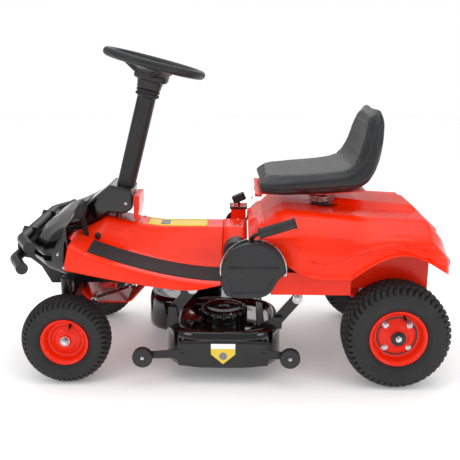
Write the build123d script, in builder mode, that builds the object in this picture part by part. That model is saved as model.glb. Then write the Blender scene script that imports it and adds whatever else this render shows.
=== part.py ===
"""Compact riding lawn mower, millimetres.

Frame: +Z up, ground at Z = 0, the mower faces -X, its left side is -Y.
The origin is on the ground below the middle of the overall box.
"""
from build123d import *

import math
import os

os.makedirs("parts", exist_ok=True)

# --- wheels and axles ---
WHEELBASE = 1009.0
FRONT_AXLE_X = -496.0
REAR_AXLE_X = FRONT_AXLE_X + WHEELBASE
FRONT_TYRE_RADIUS = 137.0
FRONT_TYRE_WIDTH = 100.0
FRONT_BEAD_RADIUS = 62.0
FRONT_FLANGE_RADIUS = 73.5
FRONT_WHEEL_Y = 282.0
REAR_TYRE_RADIUS = 165.0
REAR_TYRE_WIDTH = 127.0
REAR_BEAD_RADIUS = 75.0
REAR_FLANGE_RADIUS = 88.0
REAR_WHEEL_Y = 286.5
TYRE_WALL = 12.0
RIM_WALL = 3.0
BEAD_INSET = 12.0
AXLE_SHAFT_RADIUS = 9.5
RUNNING_FIT = 0.05
HUB_PLATE_RADIUS = 38.0
LUG_CIRCLE_RADIUS = 50.0
LUG_COUNT = 4

# --- frame ---
FRAME_FRONT_X = -575.0
FRAME_REAR_X = 600.0
RAIL_Y = 95.0
RAIL_WIDTH = 38.0
RAIL_BOTTOM_Z = 262.0
RAIL_HEIGHT = 38.0
CROSSMEMBER_LENGTH = 30.0
RAIL_TOP_Z = RAIL_BOTTOM_Z + RAIL_HEIGHT
RAIL_INNER_Y = RAIL_Y - RAIL_WIDTH / 2
RAIL_OUTER_Y = RAIL_Y + RAIL_WIDTH / 2
PLATE = 5.0

# --- front axle and steering ---
KINGPIN_X = FRONT_AXLE_X - 12.0
KINGPIN_Y = 205.0
KINGPIN_RADIUS = 9.0
SLEEVE_RADIUS = 17.0
SLEEVE_BOTTOM_Z = 250.0
SLEEVE_TOP_Z = 305.0
BEAM_PIVOT_Z = 232.0
BEAM_PIN_RADIUS = 10.0
BEAM_DEPTH = 40.0
BEAM_HEIGHT = 30.0
STEERING_ARM = 87.0
BALL_RADIUS = 8.0
TIE_ROD_RADIUS = 6.0
TIE_ROD_Z = 238.0
COLUMN_TILT = 14.5
WHEEL_CENTRE_X = -240.0
WHEEL_CENTRE_Z = 960.0
STEERING_WHEEL_RADIUS = 166.0
STEERING_RIM_RADIUS = 13.5
COLUMN_RADIUS = 30.0
COLUMN_WALL = 3.0
COLUMN_TOP = -104.0
COLUMN_FOOT = -470.0
STEERING_SHAFT_RADIUS = 9.5
SHAFT_FOOT = -735.0

# --- bumper ---
BUMPER_RADIUS = 16.5
BUMPER_STRAIGHT_Y = 208.0
BUMPER_END_Y = 306.0
UPPER_BUMPER_X = -637.5
UPPER_BUMPER_Z = 432.0
LOWER_BUMPER_X = -663.5
LOWER_BUMPER_Z = 368.0
BUMPER_SWEEP_BACK = 48.0
BUMPER_BEND = 60.0
BUMPER_TUBES = [(UPPER_BUMPER_X, UPPER_BUMPER_Z), (LOWER_BUMPER_X, LOWER_BUMPER_Z)]

# --- body shells ---
SHELL = 3.0
TUNNEL_HALF = 60.0
FOLD_Y = 150.0
FLOOR_EDGE_Y = 300.0
SKIRT_Y = 320.0
TUB_FRONT_X = -490.0
TUB_REAR_X = 60.0
FLOOR_REAR_X = -17.0
FLOOR_LOW_Z = 333.0
FLOOR_RISE = 91.0
PAD_THICKNESS = 3.0
ARCH_BASE_Z = 345.0
ARCH_RISE = 76.0
ARCH_HALF = 155.0
FENDER_REAR_X = 668.0
CREST_END_X = 602.0
FENDER_HALF = 331.0
HOOD_HALF = 88.0
COWL_WALL = 4.0
COWL_HALF = 285.0
CONSOLE_HALF = 75.0

# --- seat ---
SEAT_HALF = 200.0
SEAT_PIVOT_X = 95.0
SEAT_PIVOT_Z = 552.0
SEAT_PAN_Z = 564.0
SPRING_X = 300.0
SPRING_Y = 80.0
SPRING_RADIUS = 22.0
SPRING_WIRE = 2.5

# --- deck, its links and lever ---
DECK_BOTTOM_Z = 58.0
DECK_TOP_Z = 162.0
DECK_SHEET = 2.5
LEFT_LOBE_X = -13.5
LEFT_LOBE_Y = -145.0
LOBE_LENGTH = 367.0
LOBE_WIDTH = 350.0
LOBE_STAGGER = -88.0
LOBE_CORNER = 75.0
SPINDLE_SPREAD = 290.0
BLADE_LENGTH = 298.0
BLADE_Z = 78.0
SPINDLE_RADIUS = 12.0
COVER_RADIUS = 76.0
COVER_TOP_Z = 196.0
LINK_DX = -61.0
LINK_DZ = -73.0
FRONT_LIFT_X = -110.0
FRONT_LIFT_Z = 284.0
REAR_LIFT_X = 216.0
REAR_LIFT_Z = 254.0
LIFT_SHAFT_RADIUS = 8.0
LINK_Y = 228.0
LINK_PIN_RADIUS = 6.0
LEVER_X = 76.0
LEVER_Z = 364.0
LEVER_TUBE_RADIUS = 14.0
LIFT_ARM = 40.0
ROD_PIN_RADIUS = 5.0
OPEN_PIVOT_CLEARANCE = 1.5
DECK_WHEEL_RADIUS = 31.0
DECK_WHEEL_WIDTH = 22.0
DECK_WHEEL_X = (-257.0, 190.0)
DECK_ARM_Y = 322.0
DECK_WHEEL_Y = 335.0
DECK_WHEEL_Z = 98.0
CHUTE_X = -100.0
CHUTE_LENGTH = 210.0
CHUTE_Y = 320.0
CHUTE_PIN_Y = 329.0
CHUTE_PIN_Z = 138.0

# --- engine, gearbox and belt ---
ENGINE_X = 380.0
ENGINE_HALF = 90.0
ENGINE_BLOCK_TOP_Z = 410.0
ENGINE_COVER_TOP_Z = 498.0
CRANKSHAFT_RADIUS = 12.5
PULLEY_RADIUS = 42.0
TRANSAXLE_PULLEY_RADIUS = 58.0
PULLEY_Z = 236.0
PULLEY_HEIGHT = 16.0
TRANSAXLE_X = REAR_AXLE_X + 8.0
INPUT_SHAFT_RADIUS = 9.0

# --- pedal, parking brake and gear lever ---
PEDAL_X = -455.0
PEDAL_Z = 345.0
BRAKE_X = -412.0
BRAKE_Z = 372.0
GEAR_X = 34.0
GEAR_Y = 145.0
GEAR_Z = 408.0

RIGHT_LOBE_X = LEFT_LOBE_X + LOBE_STAGGER
RIGHT_LOBE_Y = LEFT_LOBE_Y + SPINDLE_SPREAD
COLUMN_AXIS = Vector(math.sin(math.radians(COLUMN_TILT)), 0, math.cos(math.radians(COLUMN_TILT)))
WHEEL_CENTRE = Vector(WHEEL_CENTRE_X, 0, WHEEL_CENTRE_Z)
STEERING_PLANE = Plane(origin=WHEEL_CENTRE, x_dir=(COLUMN_AXIS.Z, 0, -COLUMN_AXIS.X), z_dir=COLUMN_AXIS)
PITMAN_EYE = WHEEL_CENTRE + COLUMN_AXIS * SHAFT_FOOT + STEERING_PLANE.x_dir * STEERING_ARM
SIDES = {"left": -1, "right": 1}


def save(piece, label):
    """Name a finished piece and write it as its own STEP file."""
    piece.part.label = label
    export_step(piece.part, f"parts/{label}.step")


def side_plane(y):
    """A plane across Y whose sketch axes are X and Z."""
    return Plane(origin=(0, y, 0), x_dir=(1, 0, 0), z_dir=(0, -1, 0))


def plate_between(outline, y_from, y_to):
    """Extrude an X-Z outline from one Y to another in the active part."""
    with BuildSketch(side_plane(max(y_from, y_to))) as profile:
        Polygon(*outline, align=None)
    extrude(profile.sketch, amount=abs(y_to - y_from))


def rod_y(radius, x, z, y_from, y_to, mode=Mode.ADD):
    """A round bar or hole along Y in the active part."""
    with BuildSketch(side_plane(max(y_from, y_to))) as profile:
        with Locations((x, z)):
            Circle(radius)
    extrude(profile.sketch, amount=abs(y_to - y_from), mode=mode)


def block(x_from, x_to, y_from, y_to, z_from, z_to, mode=Mode.ADD):
    """A box given by its limits in the active part."""
    with Locations(((x_from + x_to) / 2, (y_from + y_to) / 2, (z_from + z_to) / 2)):
        Box(x_to - x_from, abs(y_to - y_from), z_to - z_from, mode=mode)


def shell_section(half_line, wall):
    """Close a right-hand half line into a symmetric sheet section."""
    inner = []
    for index, (y, z) in enumerate(half_line):
        before = half_line[max(index - 1, 0)]
        after = half_line[min(index + 1, len(half_line) - 1)]
        run = math.hypot(after[0] - before[0], after[1] - before[1])
        inner.append((y + wall * (after[1] - before[1]) / run, z - wall * (after[0] - before[0]) / run))
    outer_left = [(-y, z) for y, z in reversed(half_line[1:])]
    inner_left = [(-y, z) for y, z in inner[1:]]
    return outer_left + half_line + list(reversed(inner)) + inner_left


def loft_shell(stations, half_line_at, wall):
    """Loft a bent sheet through the section found at each station along X."""
    sections = []
    for x in stations:
        with BuildSketch(Plane.YZ.offset(x)) as section:
            Polygon(*shell_section(half_line_at(x), wall), align=None)
        sections.append(section.sketch)
    loft(sections=sections, ruled=True)


# --- shape of the front tub ---
def floor_z(x):
    """Height of the footboard, rising towards the front."""
    return FLOOR_LOW_Z + FLOOR_RISE * max((FLOOR_REAR_X - 9 - x) / 405, 0) ** 1.7


def tunnel_z(x):
    """Height of the centre tunnel between the footboards."""
    if x < -400:
        return 474 - 0.55 * (-400 - x)
    return 438 + 36 * max((-210 - x) / 190, 0) ** 1.5


def skirt_bottom_z(x):
    """Lower edge of the outer skirt."""
    return 306 + 61 * max((-130 - x) / 360, 0) ** 1.3 + 22 * max((x + 110) / 93, 0) ** 1.5


def tub_half_line(x):
    """Half section of the tub: tunnel top, slope, footboard, crease and skirt."""
    if x <= FLOOR_REAR_X:
        z = floor_z(x)
        return [(0, tunnel_z(x)), (TUNNEL_HALF, tunnel_z(x)), (FOLD_Y, z + 2),
                (FLOOR_EDGE_Y, z - 6), (SKIRT_Y - 4, z - 8), (SKIRT_Y, skirt_bottom_z(x))]
    return [(0, 440), (TUNNEL_HALF, 440), (FOLD_Y, 372), (196, 352), (206, 344), (210, 312)]


TUB_STATIONS = [TUB_FRONT_X, -431, -360, -290, -220, -150, -80, FLOOR_REAR_X]


def make_front_body():
    """The red tub: tunnel, footboards and skirts, with holes for the controls."""
    shaft_foot = STEERING_PLANE.offset(COLUMN_FOOT - 60)
    with BuildPart() as front_body:
        loft_shell(TUB_STATIONS, tub_half_line, SHELL)
        loft_shell([FLOOR_REAR_X, TUB_REAR_X], lambda x: tub_half_line(TUB_REAR_X), SHELL)
        with BuildSketch(shaft_foot):
            Circle(COLUMN_RADIUS - 8)
        extrude(amount=160, mode=Mode.SUBTRACT)
        block(-485, -432, -170, -146, 380, 470, mode=Mode.SUBTRACT)
        block(-420, -393, -166, -152, 380, 470, mode=Mode.SUBTRACT)
    save(front_body, "front_body")


def make_foot_pads():
    """Two black non-slip mats that lie on the footboards."""
    inner, outer = 172, 290
    with BuildPart() as foot_pads:
        for side in (-1, 1):
            for x in TUB_STATIONS[1:]:
                fall = 8 / (FLOOR_EDGE_Y - FOLD_Y)
                z_in = floor_z(x) + 2 - fall * (inner - FOLD_Y)
                z_out = floor_z(x) + 2 - fall * (outer - FOLD_Y)
                with BuildSketch(Plane.YZ.offset(x)):
                    Polygon((side * inner, z_in), (side * outer, z_out),
                            (side * outer, z_out + PAD_THICKNESS), (side * inner, z_in + PAD_THICKNESS),
                            align=None)
            loft(ruled=True)
    save(foot_pads, "foot_pads")


# --- shape of the rear body ---
def crest_z(x):
    """Height of the fender's side crest."""
    if x < 186:
        return 481 + 44 * math.sin(math.radians(90 * (x - 108) / 78))
    if x < CREST_END_X:
        return 525 - 21 * (x - 186) / (CREST_END_X - 186)
    return 504 - 1.1 * (x - CREST_END_X)


def hood_z(x):
    """Height of the raised centre hood."""
    if x < 330:
        return crest_z(x) + 3
    if x < 590:
        return 544 - 0.09 * (x - 340)
    return 521.5 - 0.95 * (x - 590)


SPRING_BOTTOM_Z = hood_z(SPRING_X) + 2


def fender_edge_z(x):
    """Lower edge of the fender, arched over the rear wheel."""
    reach = abs(x - REAR_AXLE_X - 5)
    arch = ARCH_RISE * math.cos(math.radians(90 * min(reach / ARCH_HALF, 1)))
    return ARCH_BASE_Z + arch + 37 * max((272 - x) / 101, 0) ** 2


def fender_half(x):
    """Half width of the fender, which flares out towards the wheel and rounds in at the tail."""
    front = 52 * max((320 - x) / 190, 0) ** 1.5
    tail = 31 * max((x - 620) / 48, 0) ** 2
    return FENDER_HALF - front - tail


def fender_half_line(x):
    """Half section of the rear body at a station."""
    half = fender_half(x)
    crest = crest_z(x)
    edge = fender_edge_z(x)
    return [(0, hood_z(x)), (HOOD_HALF, hood_z(x)), (HOOD_HALF + 20, crest + 2), (half - 100, crest),
            (half - 42, crest - 34), (half - 8, (crest + edge) / 2 + 4), (half, edge)]


RISER_STATIONS = [62, 84]
FENDER_STATIONS = [108, 145, 186, 250, 320, 345, 400, 440, 490, 540, 590, CREST_END_X, 625, 640, 652,
                   FENDER_REAR_X]


def riser_half_line(x):
    """Half section of the seat riser, in front of the fenders."""
    rise = (x - RISER_STATIONS[0]) / (FENDER_STATIONS[0] - RISER_STATIONS[0])
    end = fender_half_line(FENDER_STATIONS[0])
    start = [(0, 470), (85, 470), (110, 447), (190, 432), (228, 412), (234, 400), (236, 388)]
    lift = math.sin(math.radians(90 * rise))
    line = []
    for (y_start, z_start), (y_end, z_end) in zip(start, end):
        line.append((y_start + (y_end - y_start) * rise, z_start + (z_end - z_start) * lift))
    return line


def rear_half_line(x):
    """Half section of the whole rear body."""
    if x < FENDER_STATIONS[0]:
        return riser_half_line(x)
    return fender_half_line(x)


def make_rear_body():
    """The red rear body: seat riser, raised hood and fenders over the wheels."""
    rear_line = fender_half_line(FENDER_REAR_X)
    with BuildPart() as rear_body:
        loft_shell(RISER_STATIONS + FENDER_STATIONS, rear_half_line, SHELL)
        with BuildSketch(Plane.YZ.offset(FENDER_REAR_X)):
            Polygon(*([(-y, z) for y, z in reversed(rear_line[1:])] + rear_line), align=None)
        extrude(amount=SHELL)
    save(rear_body, "rear_body")


def make_inner_panels():
    """Red inner panels behind the wheels and the boxed lower body in front of them."""
    with BuildPart() as rear_inner_panels:
        for side in (-1, 1):
            block(402, 620, side * 213, side * 216, 285, 400)
            block(402, 470, side * 213, side * 216, 285, 470)
            block(130, 372, side * 278, side * 281, 285, 352)
            block(130, 372, side * 242, side * 281, 282, 285)
            block(369, 372, side * 213, side * 278, 285, 352)
            block(372, 402, side * 213, side * 216, 285, 352)
    save(rear_inner_panels, "rear_inner_panels")


def make_side_vents():
    """Black moulded pockets in the arches low on both sides of the tunnel."""
    with BuildPart() as side_vents:
        for side in (-1, 1):
            with BuildSketch(side_plane(side * 218 + 3)):
                with BuildLine():
                    Polyline((62, 405), (62, 356), (-8, 356), (-8, 392))
                    ThreePointArc((-8, 392), (24, 424), (62, 405))
                make_face()
            extrude(amount=6)
    save(side_vents, "side_vents")


# --- front cowl, console and steering column ---
def make_front_cowl():
    """The faceted black nose cowl, open at the back and below."""
    outline = [(-482, 508), (-497, 430), (-523, 345), (-598, 360), (-626, 376), (-628, 400),
               (-612, 432), (-583, 462), (-540, 488)]
    inside = [(x + COWL_WALL, z - COWL_WALL) for x, z in outline[4:]]
    inside = inside + [(-470, 500), (-470, 330), (-598, 330)]
    plan = [(-480, 0), (-480, COWL_HALF), (-512, COWL_HALF), (-560, 262), (-612, 190), (-628, 100), (-628, 0)]
    inner_plan = [(-480, 0), (-480, COWL_HALF - 5), (-510, COWL_HALF - 5), (-557, 257),
                  (-607, 187), (-623, 98), (-623, 0)]
    with BuildPart() as front_cowl:
        plate_between(outline, -COWL_HALF, COWL_HALF)
        with BuildSketch():
            for line in (plan, [(x, -y) for x, y in plan]):
                Polygon(*line, align=None)
        extrude(amount=600, mode=Mode.INTERSECT)
        with BuildPart(mode=Mode.PRIVATE) as hollow:
            plate_between(inside, -COWL_HALF, COWL_HALF)
            with BuildSketch():
                for line in (inner_plan, [(x, -y) for x, y in inner_plan]):
                    Polygon(*line, align=None)
            extrude(amount=600, mode=Mode.INTERSECT)
        add(hollow.part, mode=Mode.SUBTRACT)
        block(-545, -470, -200, -122, 425, 520, mode=Mode.SUBTRACT)
        for side in (-1, 1):
            block(-660, -550, side * (RAIL_OUTER_Y + 1), side * (RAIL_OUTER_Y + PLATE + 3), 300, 470,
                  mode=Mode.SUBTRACT)
    save(front_cowl, "front_cowl")


def make_dash_console():
    """The black console that the steering column stands in."""
    outline = [(-385, 578), (-314, 562), (-314, 498), (-340, 482), (-392, 486), (-462, 442), (-480, 470),
               (-464, 515)]
    column_plane = STEERING_PLANE.offset(COLUMN_FOOT)
    with BuildPart() as dash_console:
        plate_between(outline, -CONSOLE_HALF, CONSOLE_HALF)
        inside_plane = side_plane(CONSOLE_HALF - COWL_WALL)
        with BuildSketch(inside_plane):
            Polygon(*outline, align=None)
            offset(amount=-COWL_WALL, kind=Kind.INTERSECTION)
        extrude(amount=2 * (CONSOLE_HALF - COWL_WALL), mode=Mode.SUBTRACT)
        with BuildSketch(column_plane):
            Circle(COLUMN_RADIUS)
        extrude(amount=-COLUMN_FOOT, mode=Mode.SUBTRACT)
        with BuildSketch(column_plane.offset(-80)):
            Circle(STEERING_SHAFT_RADIUS + 8)
        extrude(amount=100, mode=Mode.SUBTRACT)
    save(dash_console, "dash_console")


def make_console_support():
    """The red plate that carries the back of the console."""
    outline = [(-311, 540), (-292, 540), (-292, 500), (-300, 462), (-311, 462)]
    with BuildPart() as console_support:
        plate_between(outline, -62, 62)
    save(console_support, "console_support")


def make_steering_column():
    """The fixed column tube with its ringed bearing collar at the top."""
    with BuildPart() as steering_column:
        with BuildSketch(STEERING_PLANE.offset(COLUMN_FOOT)):
            Circle(COLUMN_RADIUS)
            Circle(COLUMN_RADIUS - COLUMN_WALL, mode=Mode.SUBTRACT)
        extrude(amount=COLUMN_TOP - COLUMN_FOOT)
        for ring, radius in enumerate((38.5, 35.5, 38.5)):
            with BuildSketch(STEERING_PLANE.offset(COLUMN_TOP + 6 * ring)):
                Circle(radius)
                Circle(STEERING_SHAFT_RADIUS + RUNNING_FIT, mode=Mode.SUBTRACT)
            extrude(amount=6)
    save(steering_column, "steering_column")


def make_steering_wheel():
    """The moulded wheel: a round rim, three spokes and a deep hub."""
    with BuildPart() as steering_wheel:
        with BuildSketch(Plane(origin=WHEEL_CENTRE, x_dir=STEERING_PLANE.x_dir, z_dir=(0, -1, 0))):
            with Locations((STEERING_WHEEL_RADIUS - STEERING_RIM_RADIUS, 0)):
                Circle(STEERING_RIM_RADIUS)
        revolve(axis=Axis(WHEEL_CENTRE, COLUMN_AXIS))
        with BuildSketch(STEERING_PLANE.offset(-84)):
            Rectangle(74, 74)
        with BuildSketch(STEERING_PLANE.offset(-30)):
            Rectangle(92, 92)
        loft()
        for angle in (0, 120, 240):
            reach = STEERING_WHEEL_RADIUS - STEERING_RIM_RADIUS
            spoke = STEERING_PLANE.rotated((0, 0, angle)).offset(-46)
            with BuildSketch(spoke):
                with Locations((34, 0)):
                    Rectangle(44, 34)
            with BuildSketch(STEERING_PLANE.rotated((0, 0, angle)).offset(-3)):
                with Locations((reach - 12, 0)):
                    Rectangle(20, 30)
            loft()
        with BuildSketch(STEERING_PLANE.offset(-90)):
            Circle(STEERING_SHAFT_RADIUS)
        extrude(amount=50, mode=Mode.SUBTRACT)
    save(steering_wheel, "steering_wheel")


def make_steering_shaft():
    """The steering shaft with the pitman arm welded to its foot."""
    foot = STEERING_PLANE.offset(SHAFT_FOOT)
    with BuildPart() as steering_shaft:
        with BuildSketch(foot):
            Circle(STEERING_SHAFT_RADIUS)
        extrude(amount=-40 - SHAFT_FOOT)
        with BuildSketch(foot):
            SlotCenterToCenter(STEERING_ARM, 30)
        arm = extrude(amount=PLATE, mode=Mode.PRIVATE)
        add(arm.moved(Location(foot.x_dir * (STEERING_ARM / 2))))
        with BuildSketch(foot.offset(-1)):
            with Locations((STEERING_ARM, 0)):
                Circle(BALL_RADIUS + 2 * OPEN_PIVOT_CLEARANCE)
        extrude(amount=PLATE + 2, mode=Mode.SUBTRACT)
    save(steering_shaft, "steering_shaft")


# --- bumper ---
def bumper_route(x, z):
    """Corner points of one bumper tube, swept back at both ends."""
    back = x + BUMPER_SWEEP_BACK
    return [(back, -BUMPER_END_Y, z), (x, -BUMPER_STRAIGHT_Y, z), (x, BUMPER_STRAIGHT_Y, z),
            (back, BUMPER_END_Y, z)]


def make_bumper():
    """Two black bumper tubes, their end caps and the plates that carry them."""
    cap_radius = BUMPER_RADIUS + 1.5
    with BuildPart() as bumper_tubes:
        for x, z in BUMPER_TUBES:
            with BuildLine(mode=Mode.PRIVATE) as route:
                FilletPolyline(*bumper_route(x, z), radius=BUMPER_BEND)
            path = route.wire()
            with BuildSketch(Plane(origin=path @ 0, z_dir=path % 0)):
                Circle(BUMPER_RADIUS)
                Circle(BUMPER_RADIUS - 2, mode=Mode.SUBTRACT)
            sweep(path=path)
        for x, z in BUMPER_TUBES:
            points = [Vector(*point) for point in bumper_route(x, z)]
            for end, inner in ((points[0], points[1]), (points[3], points[2])):
                outward = (end - inner).normalized()
                with BuildSketch(Plane(origin=end, z_dir=outward)):
                    Circle(cap_radius)
                extrude(amount=8)
    save(bumper_tubes, "bumper_tubes")
    outline = [(-575, 262), (-540, 262), (-540, 300), (-566, 330), (-606, 352), (-612, 445), (-655, 452),
               (-684, 380), (-684, 352), (-640, 345), (-606, 318)]
    with BuildPart() as bumper_brackets:
        for side in (-1, 1):
            plate_between(outline, side * (RAIL_OUTER_Y + 2), side * (RAIL_OUTER_Y + 2 + PLATE))
        for x, z in BUMPER_TUBES:
            rod_y(BUMPER_RADIUS, x, z, -200, 200, mode=Mode.SUBTRACT)
        block(-684 - 1, -679.9, -200, 200, 340, 400, mode=Mode.SUBTRACT)
        for side in (-1, 1):
            block(-572, -545, side * RAIL_OUTER_Y, side * (RAIL_OUTER_Y + 2), 266, 296)
    save(bumper_brackets, "bumper_brackets")


# --- frame ---
def make_main_frame():
    """Two rails with crossmembers, the axle pivot, hangers and the engine plate."""
    with BuildPart() as main_frame:
        for side in (-1, 1):
            block(FRAME_FRONT_X, FRAME_REAR_X, side * RAIL_INNER_Y, side * RAIL_OUTER_Y,
                  RAIL_BOTTOM_Z, RAIL_TOP_Z)
        for x in (FRAME_FRONT_X, KINGPIN_X - 40, KINGPIN_X + 24, -300, 110, FRAME_REAR_X - CROSSMEMBER_LENGTH):
            block(x, x + CROSSMEMBER_LENGTH, -RAIL_Y, RAIL_Y, RAIL_BOTTOM_Z, RAIL_TOP_Z)
        shaft_x = WHEEL_CENTRE_X - (WHEEL_CENTRE_Z - RAIL_BOTTOM_Z) * math.tan(math.radians(COLUMN_TILT))
        block(shaft_x - 25, shaft_x + 35, -RAIL_Y, RAIL_Y, RAIL_BOTTOM_Z, RAIL_TOP_Z)
        with BuildSketch(STEERING_PLANE.offset(SHAFT_FOOT)):
            Circle(STEERING_SHAFT_RADIUS + RUNNING_FIT)
        extrude(amount=160, mode=Mode.SUBTRACT)
        for x in (KINGPIN_X - BEAM_DEPTH / 2 - 2 - PLATE, KINGPIN_X + BEAM_DEPTH / 2 + 2):
            block(x, x + PLATE, -32, 32, BEAM_PIVOT_Z - 22, RAIL_BOTTOM_Z + 2)
        with BuildSketch(Plane.YZ.offset(KINGPIN_X - BEAM_DEPTH / 2 - 12)):
            with Locations((0, BEAM_PIVOT_Z)):
                Circle(BEAM_PIN_RADIUS)
        extrude(amount=BEAM_DEPTH + 24)
        rod_y(LIFT_SHAFT_RADIUS + RUNNING_FIT, FRONT_LIFT_X, FRONT_LIFT_Z, -130, 130, mode=Mode.SUBTRACT)
        for side in (-1, 1):
            block(REAR_LIFT_X - 26, REAR_LIFT_X + 26, side * RAIL_OUTER_Y, side * (RAIL_OUTER_Y + PLATE),
                  REAR_LIFT_Z - 20, RAIL_TOP_Z)
        rod_y(LIFT_SHAFT_RADIUS + RUNNING_FIT, REAR_LIFT_X, REAR_LIFT_Z, -130, 130, mode=Mode.SUBTRACT)
        block(ENGINE_X - 90, ENGINE_X + 90, -RAIL_Y, RAIL_Y, RAIL_TOP_Z - PLATE, RAIL_TOP_Z)
        with BuildSketch(Plane.XY.offset(RAIL_BOTTOM_Z)):
            with Locations((ENGINE_X, 0)):
                Circle(24)
        extrude(amount=60, mode=Mode.SUBTRACT)
    save(main_frame, "main_frame")


def make_steering_guard():
    """The red hoop of strip steel that hangs below the rails around the steering arm."""
    outer = [(-476, 262), (-456, 186), (-438, 176), (-340, 176), (-323, 184), (-273, 240), (-268, 262)]
    inner = [(-273, 262), (-278, 243), (-326, 189), (-341, 181), (-437, 181), (-452, 189), (-471, 262)]
    with BuildPart() as steering_guard:
        plate_between(outer + inner, -70, 70)
    save(steering_guard, "steering_guard")


# --- front axle ---
def make_axle_beam():
    """The front beam, rocking on its centre pin, with a kingpin sleeve at each end."""
    with BuildPart() as axle_beam:
        block(KINGPIN_X - BEAM_DEPTH / 2, KINGPIN_X + BEAM_DEPTH / 2, -KINGPIN_Y + 12, KINGPIN_Y - 12,
              BEAM_PIVOT_Z - BEAM_HEIGHT / 2, BEAM_PIVOT_Z + BEAM_HEIGHT / 2)
        for side in (-1, 1):
            block(KINGPIN_X - 14, KINGPIN_X + 14, side * 160, side * (KINGPIN_Y - 6),
                  BEAM_PIVOT_Z, SLEEVE_TOP_Z - 14)
            with BuildSketch(Plane.XY.offset(SLEEVE_BOTTOM_Z)):
                with Locations((KINGPIN_X, side * KINGPIN_Y)):
                    Circle(SLEEVE_RADIUS)
            extrude(amount=SLEEVE_TOP_Z - SLEEVE_BOTTOM_Z)
            block(KINGPIN_X - 25, KINGPIN_X + 25, side * (KINGPIN_Y - 32), side * (KINGPIN_Y + 25),
                  200, SLEEVE_BOTTOM_Z, mode=Mode.SUBTRACT)
            with BuildSketch(Plane.XY.offset(200)):
                with Locations((KINGPIN_X, side * KINGPIN_Y)):
                    Circle(KINGPIN_RADIUS + RUNNING_FIT)
            extrude(amount=150, mode=Mode.SUBTRACT)
        with BuildSketch(Plane.YZ.offset(KINGPIN_X - BEAM_DEPTH / 2)):
            with Locations((0, BEAM_PIVOT_Z)):
                Circle(BEAM_PIN_RADIUS + RUNNING_FIT)
        extrude(amount=BEAM_DEPTH, mode=Mode.SUBTRACT)
    save(axle_beam, "axle_beam")


def make_knuckle(name, side):
    """Steering knuckle: kingpin with its washer and nut, upright, stub axle and arm."""
    upright_top = SLEEVE_BOTTOM_Z - 0.5
    arm_x = KINGPIN_X + STEERING_ARM
    stub_end = FRONT_WHEEL_Y + FRONT_TYRE_WIDTH / 2 - 12
    with BuildPart() as knuckle:
        with BuildSketch(Plane.XY.offset(upright_top - 20)):
            with Locations((KINGPIN_X, side * KINGPIN_Y)):
                Circle(KINGPIN_RADIUS)
        extrude(amount=SLEEVE_TOP_Z + 12 - upright_top + 20)
        with BuildSketch(Plane.XY.offset(SLEEVE_TOP_Z + 0.5)):
            with Locations((KINGPIN_X, side * KINGPIN_Y)):
                Circle(16)
        extrude(amount=2.5)
        with BuildSketch(Plane.XY.offset(SLEEVE_TOP_Z + 3)):
            with Locations((KINGPIN_X, side * KINGPIN_Y)):
                RegularPolygon(11, 6)
        extrude(amount=8)
        block(KINGPIN_X - 12, KINGPIN_X + 24, side * (KINGPIN_Y - 11), side * (KINGPIN_Y + 9),
              FRONT_TYRE_RADIUS - 14, upright_top)
        rod_y(AXLE_SHAFT_RADIUS, FRONT_AXLE_X, FRONT_TYRE_RADIUS, side * KINGPIN_Y, side * stub_end)
        block(KINGPIN_X, arm_x + 10, side * (KINGPIN_Y - 10), side * (KINGPIN_Y + 8),
              TIE_ROD_Z - 18, TIE_ROD_Z - 12)
        with BuildSketch(Plane.XY.offset(TIE_ROD_Z - 18)):
            with Locations((arm_x, side * KINGPIN_Y)):
                Circle(11)
        extrude(amount=6)
        with BuildSketch(Plane.XY.offset(TIE_ROD_Z - 22)):
            with Locations((arm_x, side * KINGPIN_Y)):
                Circle(5 + (RUNNING_FIT if side < 0 else 4 * RUNNING_FIT))
        extrude(amount=20, mode=Mode.SUBTRACT)
    save(knuckle, f"knuckle_{name}")


def make_tie_rods():
    """Both tie rods with their ball ends and the plate that joins them at the pitman arm."""
    ball_y = KINGPIN_Y
    arm_x = KINGPIN_X + STEERING_ARM
    middle = Vector(PITMAN_EYE.X, 0, PITMAN_EYE.Z - 14)
    with BuildPart() as tie_rods:
        with BuildSketch(Plane.XY.offset(middle.Z - 4)):
            with Locations((middle.X, 0)):
                Circle(18)
        extrude(amount=8)
        with BuildSketch(Plane(origin=middle, x_dir=STEERING_PLANE.x_dir, z_dir=COLUMN_AXIS)):
            Circle(BALL_RADIUS - 3)
        extrude(amount=26)
        for side in (-1, 1):
            ball = Vector(arm_x, side * ball_y, TIE_ROD_Z)
            reach = ball - middle
            start = middle + reach.normalized() * 10
            with BuildSketch(Plane(origin=start, z_dir=reach)):
                Circle(TIE_ROD_RADIUS)
            extrude(amount=reach.length - 12)
            with Locations(tuple(ball)):
                Sphere(11)
            with BuildSketch(Plane.XY.offset(TIE_ROD_Z - 24)):
                with Locations((arm_x, side * ball_y)):
                    Circle(5)
            extrude(amount=24)
    save(tie_rods, "tie_rods")


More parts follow.
